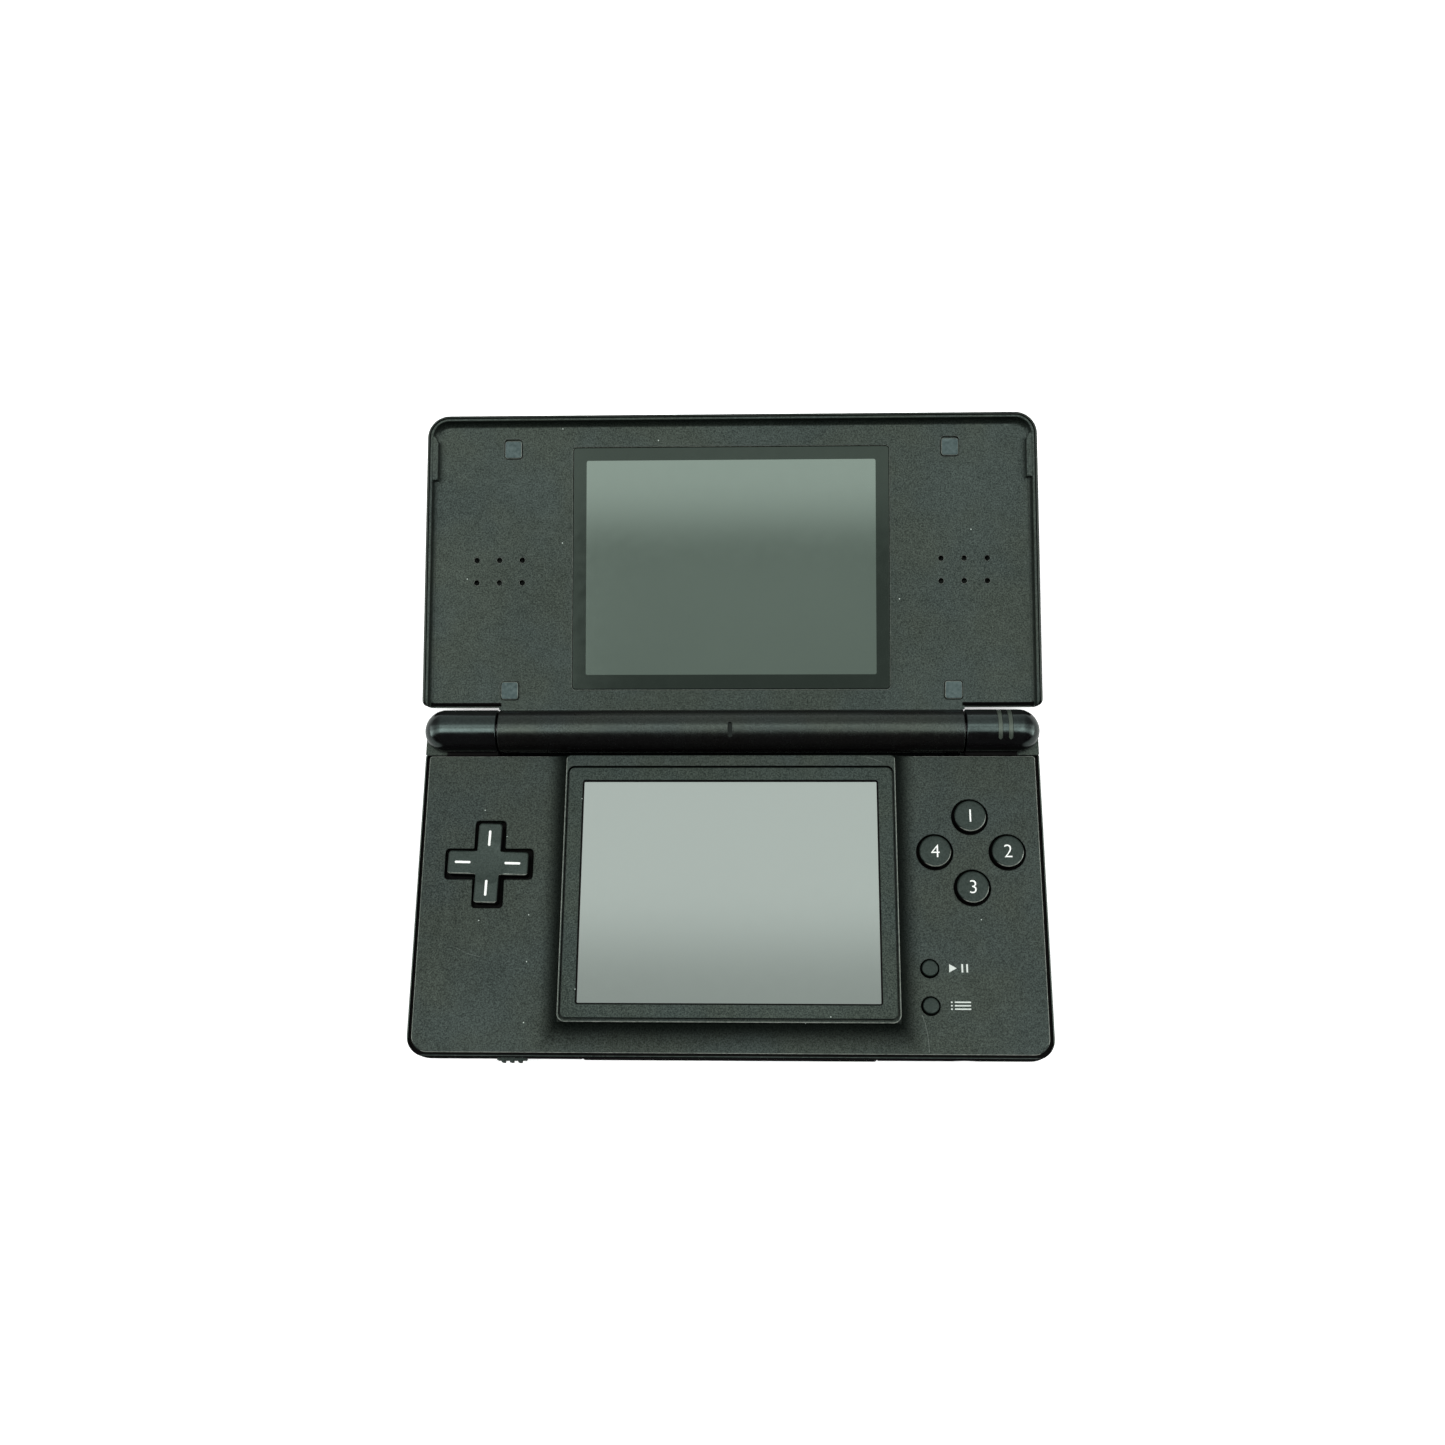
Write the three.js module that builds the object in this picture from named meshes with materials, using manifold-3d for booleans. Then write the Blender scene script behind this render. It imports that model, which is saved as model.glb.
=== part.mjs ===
// Clamshell dual-screen handheld game, standing open on its flat underside.
// Millimetres, +Z up. X runs to the player's right, -Y towards the player.
// The hinge axis lies above the origin, parallel to X; Z = 0 is the underside.

import * as THREE from 'three';
import { mergeVertices } from 'three/addons/utils/BufferGeometryUtils.js';
import Module from 'manifold-3d';

const wasm = await Module();
wasm.setup();

// ---------------------------------------------------------------- driving dimensions

const HALF_WIDTH = 66.5;
const FRONT = -69.3;
const REAR = 4.4;
const HINGE_Z = 12.6;
const BARREL_R = 4.65;
const LID_TILT_DEG = 14.1;
const LID_FAR = 69.4;
const LID_NEAR = 5.4;
const LID_BACK = -8.9;
const LID_FACE = -1.45;
const LID_RIM = 0.5;
const FACE_Z = 11.8;
const FACE_UNDER = 10.3;
const PLATEAU_Z = 13.5;
const FLOOR = 1.3;
const WALL = 1.6;
const SEAM = 50.35;
const SCREEN_HALF = 31.45;
const SCREEN_FRONT = -58.64;
const SCREEN_REAR = -11.41;
const BEZEL_HALF = 34.55;
const BEZEL_FRONT = -61.6;
const BEZEL_REAR = -8.34;
const DPAD_X = -51.2;
const DPAD_Y = -29.2;
const ACTION_X = 50.9;
const ACTION_Y = -26.5;
const ACTION_STEP = 7.62;
const OPTION_X = 41.45;
const START_Y = -51.0;
const SELECT_Y = -58.65;
const SILO_Y = -34.5;
const SILO_Z = 4.35;
const SPEAKER_X = 50.9;
const SPEAKER_Y = 35.3;
const VOLUME_X = -45.2;
const PIVOT_X = 48.7;
const PIVOT_Y = -2.2;
const JACK_X = 49;
const JACK_Z = 5.8;
const SLOT_HALF = 31.0;
const CARD_HALF = 17.3;
const SHOULDER_INNER = 46.7;
const WINDOW_PLACES = [57.6, 59.8];
const CASE_SCREWS = [[-59, -64.2], [59, -64.2], [-44, -9.2], [44, -9.2]];
const BATTERY_SCREW = [-48, -57.5];
const LID_PADS = [[-47.96, 62.3], [47.96, 62.3], [-48.4, 9.0], [48.4, 9.0]];

// Rectangles hold [left, right, near, far].
const BATTERY_RECT = [-62.5, -33.5, -60.5, -12.5];
const PANEL_RECT = [-32.6, 32.6, -59.9, -10.2];
const LENS_RECT = [-34.75, 34.75, 9.2, 62.8];
const LID_WINDOW = [-32.4, 32.4, 11.7, 60.5];

// ---------------------------------------------------------------- worked-out values

const BALL_CENTRE = HALF_WIDTH - BARREL_R;
const ACTION_PLACES = {
  top: [ACTION_X, ACTION_Y + ACTION_STEP],
  right: [ACTION_X + ACTION_STEP, ACTION_Y],
  bottom: [ACTION_X, ACTION_Y - ACTION_STEP],
  left: [ACTION_X - ACTION_STEP, ACTION_Y],
};

// ---------------------------------------------------------------- solid helpers

function solidOf(geometry) {
  const bare = geometry.index ? geometry.toNonIndexed() : geometry.clone();
  bare.deleteAttribute('normal');
  bare.deleteAttribute('uv');
  const merged = mergeVertices(bare, 1e-4);
  const vertProperties = new Float32Array(merged.attributes.position.array);
  const triVerts = new Uint32Array(merged.index.array);
  return new wasm.Manifold(new wasm.Mesh({ numProp: 3, vertProperties, triVerts }));
}

function box(x0, x1, y0, y1, z0, z1) {
  const geometry = new THREE.BoxGeometry(x1 - x0, y1 - y0, z1 - z0);
  geometry.translate((x0 + x1) / 2, (y0 + y1) / 2, (z0 + z1) / 2);
  return solidOf(geometry);
}

function cylinderZ(x, y, r, z0, z1, sides = 20) {
  const geometry = new THREE.CylinderGeometry(r, r, z1 - z0, sides);
  geometry.rotateX(Math.PI / 2);
  geometry.translate(x, y, (z0 + z1) / 2);
  return solidOf(geometry);
}

function cylinderX(y, z, r, x0, x1, sides = 20) {
  const geometry = new THREE.CylinderGeometry(r, r, x1 - x0, sides);
  geometry.rotateZ(-Math.PI / 2);
  geometry.translate((x0 + x1) / 2, y, z);
  return solidOf(geometry);
}

function cylinderY(x, z, r, y0, y1, sides = 20) {
  const geometry = new THREE.CylinderGeometry(r, r, y1 - y0, sides);
  geometry.translate(x, (y0 + y1) / 2, z);
  return solidOf(geometry);
}

// A turned solid about the Z line at (x, y); the profile holds [radius, z] from axis to axis.
function turnedZ(x, y, profile, sides = 20) {
  const points = profile.map(([r, z]) => new THREE.Vector2(r, z));
  const geometry = new THREE.LatheGeometry(points, sides);
  geometry.rotateX(Math.PI / 2);
  geometry.translate(x, y, 0);
  return solidOf(geometry);
}

// A solid turned about the hinge direction through (y, z); the profile holds [radius, x].
function turnedX(y, z, profile, sides) {
  const points = profile.map(([r, x]) => new THREE.Vector2(r, x));
  const geometry = new THREE.LatheGeometry(points, sides);
  geometry.rotateZ(-Math.PI / 2);
  geometry.translate(0, y, z);
  return solidOf(geometry);
}

// A square rectangle about a point, and a rectangle drawn in on all four sides.
function square(x, y, half) {
  return [x - half, x + half, y - half, y + half];
}

function shrunk(rect, margin) {
  return [rect[0] + margin, rect[1] - margin, rect[2] + margin, rect[3] - margin];
}

// One rounded-rectangle ring; radii run rear right, rear left, front left, front right.
function ring(rect, radii, inset, z, steps) {
  const [x0, x1, y0, y1] = rect;
  const signs = [[1, 1], [-1, 1], [-1, -1], [1, -1]];
  const points = [];
  signs.forEach(([sx, sy], corner) => {
    const r = Math.max(radii[corner] - inset, 0.12);
    const cx = (sx > 0 ? x1 - inset : x0 + inset) - sx * r;
    const cy = (sy > 0 ? y1 - inset : y0 + inset) - sy * r;
    for (let step = 0; step <= steps; step += 1) {
      const angle = (corner + step / steps) * Math.PI / 2;
      points.push(new THREE.Vector3(cx + r * Math.cos(angle), cy + r * Math.sin(angle), z));
    }
  });
  return points;
}

// A closed solid through rings of equal point count, lowest first.
function loft(rings) {
  const positions = [];
  const push = (a, b, c) => positions.push(...a.toArray(), ...b.toArray(), ...c.toArray());
  const centre = (points) => points.reduce((sum, p) => sum.add(p), new THREE.Vector3())
    .divideScalar(points.length);
  const count = rings[0].length;
  for (let level = 0; level + 1 < rings.length; level += 1) {
    const low = rings[level];
    const high = rings[level + 1];
    for (let i = 0; i < count; i += 1) {
      const j = (i + 1) % count;
      push(low[i], low[j], high[j]);
      push(low[i], high[j], high[i]);
    }
  }
  const bottom = rings[0];
  const top = rings[rings.length - 1];
  const bottomCentre = centre(bottom);
  const topCentre = centre(top);
  for (let i = 0; i < count; i += 1) {
    const j = (i + 1) % count;
    push(bottomCentre, bottom[j], bottom[i]);
    push(topCentre, top[i], top[j]);
  }
  const geometry = new THREE.BufferGeometry();
  geometry.setAttribute('position', new THREE.Float32BufferAttribute(positions, 3));
  return solidOf(geometry);
}

// A rounded slab; levels hold [z, inset] from the lowest up.
function slab(rect, radius, levels) {
  const radii = Array.isArray(radius) ? radius : [radius, radius, radius, radius];
  const largest = Math.max(...radii);
  let steps = 2;
  if (largest >= 2.6) {
    steps = 5;
  } else if (largest >= 1) {
    steps = 3;
  }
  return loft(levels.map(([z, inset]) => ring(rect, radii, inset, z, steps)));
}

// A bar bent round the hinge axis; angles run from straight up, positive towards -Y.
function arcBar(x0, x1, rIn, rOut, degFrom, degTo, centreZ) {
  const steps = 8;
  const shape = new THREE.Shape();
  const at = (r, step) => {
    const angle = THREE.MathUtils.degToRad(degFrom + (degTo - degFrom) * step / steps);
    return [-r * Math.sin(angle), r * Math.cos(angle)];
  };
  shape.moveTo(...at(rOut, 0));
  for (let step = 1; step <= steps; step += 1) {
    shape.lineTo(...at(rOut, step));
  }
  for (let step = steps; step >= 0; step -= 1) {
    shape.lineTo(...at(rIn, step));
  }
  const geometry = new THREE.ExtrudeGeometry(shape, { depth: x1 - x0, bevelEnabled: false });
  geometry.rotateX(Math.PI / 2);
  geometry.rotateZ(Math.PI / 2);
  geometry.translate(x0, 0, centreZ);
  return solidOf(geometry);
}

// ---------------------------------------------------------------- named meshes

const LOOKS = {
  shell: { color: 0x1d2422, roughness: 0.16, metalness: 0.0 },
  face: { color: 0x39443f, roughness: 0.62, metalness: 0.0 },
  key: { color: 0x2c3634, roughness: 0.42, metalness: 0.0 },
  rubber: { color: 0x4e5a5c, roughness: 0.8, metalness: 0.0 },
  lens: { color: 0x2b3431, roughness: 0.1, metalness: 0.0 },
  panel: { color: 0xa5adaa, roughness: 0.12, metalness: 0.0 },
  board: { color: 0x1f5a3a, roughness: 0.6, metalness: 0.0 },
  cell: { color: 0x30343a, roughness: 0.5, metalness: 0.0 },
  steel: { color: 0xb4b8ba, roughness: 0.35, metalness: 1.0 },
  pipe: { color: 0x4c5552, roughness: 0.25, metalness: 0.0 },
  inner: { color: 0x25292b, roughness: 0.55, metalness: 0.0 },
  silicone: { color: 0xb9bdb6, roughness: 0.75, metalness: 0.0 },
};

const group = new THREE.Group();
group.name = 'clamshell_handheld_game';

function addMesh(name, solid, look, matrix = null) {
  const made = solid.getMesh();
  const geometry = new THREE.BufferGeometry();
  const positions = [];
  for (let i = 0; i < made.vertProperties.length; i += made.numProp) {
    positions.push(
      made.vertProperties[i],
      made.vertProperties[i + 1],
      made.vertProperties[i + 2],
    );
  }
  geometry.setAttribute('position', new THREE.Float32BufferAttribute(positions, 3));
  geometry.setIndex(Array.from(made.triVerts));
  if (matrix) {
    geometry.applyMatrix4(matrix);
  }
  geometry.computeVertexNormals();
  const mesh = new THREE.Mesh(geometry, new THREE.MeshStandardMaterial(LOOKS[look]));
  mesh.name = name;
  group.add(mesh);
}

// Lid pieces are drawn flat with the hinge axis at their origin, then tilted into place.
const lidMatrix = new THREE.Matrix4()
  .makeTranslation(0, 0, HINGE_Z)
  .multiply(new THREE.Matrix4().makeRotationX(THREE.MathUtils.degToRad(LID_TILT_DEG)));

function addLidMesh(name, solid, look) {
  addMesh(name, solid, look, lidMatrix);
}

// ---------------------------------------------------------------- base: outer cover

function baseCover() {
  const outerLevels = [
    [0, 2.2], [0.5, 1.2], [1.5, 0.5], [3.2, 0.1], [4.5, 0],
    [9.6, 0], [10.6, 0.25], [11.2, 0.65], [11.4, 1.0],
  ];
  const rect = [-HALF_WIDTH, HALF_WIDTH, FRONT, REAR];
  let solid = slab(rect, 4.2, outerLevels);
  const cavity = [-HALF_WIDTH + WALL, HALF_WIDTH - WALL, FRONT + WALL, -6.4];
  solid = solid.subtract(slab(cavity, 2.6, [[FLOOR, 0], [12, 0]]));
  solid = solid.subtract(box(-45.6, 45.6, -7, 2.9, FLOOR, 6.9));
  solid = solid.subtract(box(-70, 70, -5.2, 6, 7.65, 14));
  for (const side of [-1, 1]) {
    const x0 = side > 0 ? SHOULDER_INNER : -70;
    const x1 = side > 0 ? 70 : -SHOULDER_INNER;
    solid = solid.subtract(box(x0, x1, -5.75, 6, 1.5, 14));
    solid = solid.subtract(box(side * 57 - 6, side * 57 + 6, -7, -5, 8.3, 10.2));
  }
  // rear: card slot, charging socket and the two strap holes
  solid = solid.subtract(box(-CARD_HALF, CARD_HALF, 2, 6, 1.95, 6.25));
  solid = solid.subtract(box(27.2, 33.8, 2, 6, 2.8, 6.2));
  solid = solid.subtract(box(-37.5, -35.2, 2, 6, 3.0, 5.6));
  solid = solid.subtract(box(-33.4, -31.1, 2, 6, 3.0, 5.6));
  // right: stylus mouth and power slider; front: wide slot, volume slider, audio socket
  solid = solid.subtract(cylinderX(SILO_Y, SILO_Z, 2.5, 64, 68));
  solid = solid.subtract(box(64, 68, -24.3, -14.7, 4.4, 6.8));
  solid = solid.subtract(box(-30.9, 30.9, -71, -67, 2.0, 8.8));
  solid = solid.subtract(box(VOLUME_X - 3.4, VOLUME_X + 9.6, -71, -67, 4.6, 7.0));
  solid = solid.subtract(cylinderY(JACK_X, JACK_Z, 2.9, -71, -67));
  // underside: battery bay and the case screws
  solid = solid.subtract(slab(BATTERY_RECT, 2, [[-1, 0], [2, 0]]));
  for (const [x, y] of CASE_SCREWS) {
    solid = solid.subtract(cylinderZ(x, y, 1.6, -1, 2, 12));
  }
  return solid;
}

// ---------------------------------------------------------------- base: face plate

function crossPrism(x, y, reach, halfArm, z0, z1) {
  const across = slab([x - reach, x + reach, y - halfArm, y + halfArm], 0.6, [[z0, 0], [z1, 0]]);
  const along = slab([x - halfArm, x + halfArm, y - reach, y + reach], 0.6, [[z0, 0], [z1, 0]]);
  return across.add(along);
}

function baseFace() {
  const lipRect = [-65.3, 65.3, -68.6, -5.4];
  const plateRect = [-64.7, 64.7, -67.5, -6.6];
  const plateauLevels = [
    [11.7, -2.4], [11.85, -2.0], [12.05, -1.15], [12.35, -0.5],
    [12.8, -0.12], [13.3, 0], [PLATEAU_Z, 0.2],
  ];
  let solid = slab(lipRect, [0.8, 0.8, 3.4, 3.4], [[11.48, 0], [11.65, 0], [FACE_Z, 0.15]]);
  solid = solid.add(slab(plateRect, 2.4, [[FACE_UNDER, 0], [11.6, 0]]));
  const plateau = slab([-35.3, 35.3, -62.35, -5.6], [1.2, 1.2, 3, 3], plateauLevels);
  solid = solid.add(plateau.subtract(box(-60, 60, -5.4, 2, 10, 15)));
  const pocket = [-BEZEL_HALF, BEZEL_HALF, BEZEL_FRONT, BEZEL_REAR];
  solid = solid.subtract(slab(pocket, 1.3, [[12.3, 0], [15, 0]]));
  solid = solid.subtract(box(-33, 33, -60.3, -9.8, 9, 13));
  solid = solid.subtract(crossPrism(DPAD_X, DPAD_Y, 9.38, 3.28, 9, 13));
  solid = solid.subtract(cylinderZ(DPAD_X, DPAD_Y, 11.4, 9, 10.9, 24));
  for (const [x, y] of Object.values(ACTION_PLACES)) {
    solid = solid.subtract(cylinderZ(x, y, 3.85, 9, 13, 20));
  }
  for (const y of [START_Y, SELECT_Y]) {
    solid = solid.subtract(cylinderZ(OPTION_X, y, 1.95, 9, 13, 16));
  }
  for (const [x, y] of CASE_SCREWS) {
    const post = cylinderZ(x, y, 2.1, 1.6, FACE_UNDER + 0.4, 12);
    solid = solid.add(post.subtract(cylinderZ(x, y, 0.85, 1, 5, 10)));
  }
  return solid;
}

addMesh('base_cover', baseCover(), 'shell');
addMesh('base_face', baseFace(), 'face');

// ---------------------------------------------------------------- base: lower screen

const bezelRect = shrunk([-BEZEL_HALF, BEZEL_HALF, BEZEL_FRONT, BEZEL_REAR], 0.1);
const openRect = [-SCREEN_HALF, SCREEN_HALF, SCREEN_FRONT, SCREEN_REAR];
const bezelUnderRect = [-32.7, 32.7, -60.0, -10.1];
let bezel = slab(bezelRect, 1.2, [[12.36, 0], [13.4, 0], [PLATEAU_Z, 0.12]]);
bezel = bezel.subtract(slab(bezelUnderRect, 0.4, [[12, 0], [13.12, 0]]));
bezel = bezel.subtract(slab(openRect, 0.6, [[13, 0], [13.4, 0], [13.6, -0.15]]));
addMesh('screen_bezel', bezel, 'face');
addMesh('touch_panel', slab(PANEL_RECT, 0.4, [[12.45, 0], [13.06, 0]]), 'panel');
addMesh('lower_lcd', slab(PANEL_RECT, 0.4, [[9.05, 0], [12.36, 0]]), 'inner');

// ---------------------------------------------------------------- base: hinge knuckles

function knuckleBody() {
  const profile = [[0, SEAM + 0.15], [4.45, SEAM + 0.15], [BARREL_R, SEAM + 0.35]];
  for (let step = 0; step <= 6; step += 1) {
    const angle = step / 6 * Math.PI / 2;
    const r = step === 6 ? 0 : BARREL_R * Math.cos(angle);
    profile.push([r, BALL_CENTRE + BARREL_R * Math.sin(angle)]);
  }
  let solid = turnedX(0, HINGE_Z, profile, 24);
  const foot = [SEAM + 0.15, HALF_WIDTH - 0.35, -4.6, 4.3];
  solid = solid.add(slab(foot, [4.2, 0.2, 0.2, 4.2], [[7.8, 0], [HINGE_Z - 0.4, 0]]));
  solid = solid.add(box(51.5, 62.5, -9.5, -3, 8.4, 10.1));
  return solid;
}

function mirroredX(solid) {
  const made = solid.getMesh();
  const vertProperties = new Float32Array(made.vertProperties);
  for (let i = 0; i < vertProperties.length; i += made.numProp) {
    vertProperties[i] = -vertProperties[i];
  }
  const triVerts = new Uint32Array(made.triVerts);
  for (let i = 0; i < triVerts.length; i += 3) {
    const kept = triVerts[i + 1];
    triVerts[i + 1] = triVerts[i + 2];
    triVerts[i + 2] = kept;
  }
  return new wasm.Manifold(new wasm.Mesh({ numProp: made.numProp, vertProperties, triVerts }));
}

let knuckleRight = knuckleBody().subtract(cylinderX(0, HINGE_Z, 3.0, 50, 61, 20));
for (const x of WINDOW_PLACES) {
  knuckleRight = knuckleRight.subtract(arcBar(x - 0.52, x + 0.52, 3.6, 5.2, -76, 40, HINGE_Z));
}
const knuckleLeft = mirroredX(knuckleBody().subtract(cylinderX(0, HINGE_Z, 2.25, 50, 57.5, 20)));
addMesh('knuckle_right', knuckleRight, 'shell');
addMesh('knuckle_left', knuckleLeft, 'shell');
WINDOW_PLACES.forEach((x, i) => {
  const bar = arcBar(x - 0.47, x + 0.47, 3.68, BARREL_R - 0.02, -75, 39, HINGE_Z);
  addMesh(`light_window_${i + 1}`, bar, 'pipe');
});
let clutch = cylinderX(0, HINGE_Z, 2.9, 50.9, 60.6, 20);
clutch = clutch.add(cylinderX(0, HINGE_Z, 1.8, 44.6, 51.5, 16));
addMesh('hinge_clutch', clutch, 'steel');

// ---------------------------------------------------------------- base: inside

let board = slab([-63.5, 63.5, -66, -7.6], 2, [[7.3, 0], [8.1, 0]]);
board = board.subtract(box(-32, 32, -70, -37.8, 7, 9));
for (const [x, y] of CASE_SCREWS) {
  board = board.subtract(cylinderZ(x, y, 2.4, 7, 9, 12));
}
addMesh('main_board', board, 'board');

let dpadContacts = slab(square(DPAD_X, DPAD_Y, 9), 3, [[8.15, 0], [8.45, 0]]);
dpadContacts = dpadContacts.subtract(cylinderZ(DPAD_X, DPAD_Y, 2.9, 8, 9, 16));
for (const [dx, dy] of [[0, 5.5], [5.5, 0], [0, -5.5], [-5.5, 0]]) {
  dpadContacts = dpadContacts.add(cylinderZ(DPAD_X + dx, DPAD_Y + dy, 1.7, 8.2, 8.85, 12));
}
addMesh('dpad_contacts', dpadContacts, 'silicone');

const actionMat = square(ACTION_X, ACTION_Y, ACTION_STEP + 4.4);
let actionContacts = slab(actionMat, 6, [[8.15, 0], [8.4, 0]]);
for (const [x, y] of Object.values(ACTION_PLACES)) {
  actionContacts = actionContacts.add(cylinderZ(x, y, 2.4, 8.2, 8.6, 14));
}
addMesh('action_contacts', actionContacts, 'silicone');

const optionRect = [OPTION_X - 3.2, OPTION_X + 3.2, SELECT_Y - 3.2, START_Y + 3.2];
let optionContacts = slab(optionRect, 1.5, [[8.15, 0], [8.45, 0]]);
for (const y of [START_Y, SELECT_Y]) {
  optionContacts = optionContacts.add(cylinderZ(OPTION_X, y, 1.4, 8.2, 8.75, 12));
}
addMesh('option_contacts', optionContacts, 'silicone');

const batteryLevels = [[1.5, 0.3], [1.8, 0], [6.5, 0], [6.8, 0.3]];
addMesh('battery', slab(shrunk(BATTERY_RECT, 0.5), 1.2, batteryLevels), 'cell');
let batteryCover = slab(shrunk(BATTERY_RECT, 0.2), 1.8, [[0, 0.2], [0.2, 0], [1.2, 0]]);
batteryCover = batteryCover.subtract(cylinderZ(...BATTERY_SCREW, 1.7, -1, 0.7, 14));
batteryCover = batteryCover.subtract(cylinderZ(...BATTERY_SCREW, 0.85, -1, 2, 10));
addMesh('battery_cover', batteryCover, 'shell');

// A cross-head screw, head downwards.
function screw(x, y, headR, headZ, neckZ, tipZ) {
  const shank = 0.75;
  const profile = [
    [0, headZ], [headR, headZ], [headR, neckZ],
    [shank, neckZ], [shank, tipZ], [0, tipZ],
  ];
  let solid = turnedZ(x, y, profile, 12);
  solid = solid.subtract(box(x - 0.95, x + 0.95, y - 0.18, y + 0.18, headZ - 1, headZ + 0.35));
  return solid.subtract(box(x - 0.18, x + 0.18, y - 0.95, y + 0.95, headZ - 1, headZ + 0.35));
}

addMesh('battery_screw', screw(...BATTERY_SCREW, 1.55, 0.1, 0.65, 1.35), 'steel');
CASE_SCREWS.forEach(([x, y], i) => {
  addMesh(`case_screw_${i + 1}`, screw(x, y, 1.45, 0.2, 1.2, 4.4), 'steel');
});

let cardReader = box(-18.2, 18.2, -30.9, 2.6, 1.4, 6.85);
cardReader = cardReader.subtract(box(-CARD_HALF, CARD_HALF, -29.6, 4, 1.95, 6.25));
addMesh('card_reader', cardReader, 'inner');

let slotHousing = box(-31.8, 31.8, -67.6, -38.4, 1.4, 8.95);
slotHousing = slotHousing.subtract(box(-SLOT_HALF, SLOT_HALF, -69, -39.4, 2.0, 8.5));
addMesh('slot_housing', slotHousing, 'inner');

let chargeSocket = box(26.6, 34.4, -5, 2.7, 1.6, 6.6);
chargeSocket = chargeSocket.subtract(box(27.4, 33.6, -3.4, 4, 2.9, 6.1));
chargeSocket = chargeSocket.add(box(28.6, 32.4, -3.8, 1.8, 4.1, 4.9));
addMesh('charge_socket', chargeSocket, 'inner');

const jackCollar = cylinderY(JACK_X, JACK_Z, 2.7, -68.9, -67, 18);
const jackBore = cylinderY(JACK_X, JACK_Z, 1.8, -70, -57, 16);
let audioJack = box(JACK_X - 4, JACK_X + 4, -67.5, -55, 2, 7.1);
audioJack = audioJack.add(jackCollar);
audioJack = audioJack.subtract(jackBore);
audioJack = audioJack.subtract(box(JACK_X - 5, JACK_X + 5, -67.4, -50, 7.1, 9));
addMesh('audio_jack', audioJack, 'inner');

let silo = cylinderX(SILO_Y, SILO_Z, 2.85, -22, 64.6, 16);
silo = silo.subtract(cylinderX(SILO_Y, SILO_Z, 2.45, -21.2, 65, 16));
addMesh('stylus_silo', silo, 'inner');

addMesh('radio_board', slab([36, 62, -29, -12], 1, [[4.4, 0], [5.2, 0]]), 'board');

for (const [side, label] of [[-1, 'left'], [1, 'right']]) {
  const pin = cylinderZ(side * PIVOT_X, PIVOT_Y, 0.6, 1.55, 7.55, 12);
  addMesh(`shoulder_pin_${label}`, pin, 'steel');
}

// ---------------------------------------------------------------- moving keys

const armReach = 8.55;
const armHalf = 2.5;
const armLevels = [[9.4, 0], [12.9, 0], [13.3, 0.35]];
const acrossRect = [DPAD_X - armReach, DPAD_X + armReach, DPAD_Y - armHalf, DPAD_Y + armHalf];
const alongRect = [DPAD_X - armHalf, DPAD_X + armHalf, DPAD_Y - armReach, DPAD_Y + armReach];
const dishRadius = 14;
const dish = new THREE.SphereGeometry(dishRadius, 20, 12);
dish.translate(DPAD_X, DPAD_Y, 12.9 + dishRadius);
let dpad = slab(acrossRect, 0.7, armLevels).add(slab(alongRect, 0.7, armLevels));
dpad = dpad.add(crossPrism(DPAD_X, DPAD_Y, 9.5, 4.1, 9.4, 10.1));
dpad = dpad.subtract(solidOf(dish));
addMesh('dpad', dpad, 'key');

const pivotProfile = [
  [0, 8.3], [1.4, 8.35], [2.2, 8.7],
  [2.2, 8.9], [1.4, 9.2], [0, 9.2],
];
addMesh('dpad_pivot', turnedZ(DPAD_X, DPAD_Y, pivotProfile, 16), 'silicone');

for (const [label, [x, y]] of Object.entries(ACTION_PLACES)) {
  const profile = [
    [0, 9.4], [4.4, 9.4], [4.4, 10.15], [3.55, 10.15], [3.55, 12.3],
    [3.35, 12.7], [2.8, 12.93], [0, 13.0],
  ];
  addMesh(`action_${label}`, turnedZ(x, y, profile, 18), 'key');
}

for (const [label, y] of [['start_button', START_Y], ['select_button', SELECT_Y]]) {
  const profile = [
    [0, 9.5], [2.5, 9.5], [2.5, 10.15], [1.7, 10.15], [1.7, 12.3],
    [1.5, 12.6], [0.9, 12.7], [0, 12.72],
  ];
  addMesh(label, turnedZ(OPTION_X, y, profile, 14), 'key');
}

function shoulderRight() {
  const rect = [47.1, HALF_WIDTH, -5.2, REAR];
  const levels = [[1.75, 0.45], [2.4, 0.2], [3.4, 0], [7.1, 0], [7.4, 0.35]];
  const solid = slab(rect, [4.2, 0.5, 0.5, 0.6], levels);
  return solid.subtract(cylinderZ(PIVOT_X, PIVOT_Y, 0.72, 1, 8, 12));
}

addMesh('shoulder_right', shoulderRight(), 'shell');
addMesh('shoulder_left', mirroredX(shoulderRight()), 'shell');

const powerLevels = [[4.6, 0.1], [4.8, 0], [6.4, 0], [6.6, 0.1]];
let powerSlider = slab([64.2, 67.15, -23.9, -18.2], 0.4, powerLevels);
powerSlider = powerSlider.add(box(63.4, 64.65, -27, -15.2, 3.9, 7.1));
addMesh('power_slider', powerSlider, 'shell');

let volumeSlider = box(VOLUME_X - 3.1, VOLUME_X + 3.1, -69.6, -67.3, 4.8, 6.8);
volumeSlider = volumeSlider.add(box(VOLUME_X - 4.6, VOLUME_X + 4.6, -67.5, -66.3, 4.2, 7.1));
for (const dx of [-1.75, 0, 1.75]) {
  const rib = box(VOLUME_X + dx - 0.35, VOLUME_X + dx + 0.35, -70.05, -69.4, 4.9, 6.7);
  volumeSlider = volumeSlider.add(rib);
}
addMesh('volume_slider', volumeSlider, 'shell');

const stylusProfile = [
  [0, -20.4], [0.55, -20.3], [0.8, -19.9], [1.25, -14.5], [2.15, -12.5],
  [2.15, 63.6], [2.3, 64.0], [2.3, 66.6], [1.9, 67.1], [0, 67.1],
];
addMesh('stylus', turnedX(SILO_Y, SILO_Z, stylusProfile, 14), 'silicone');

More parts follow.
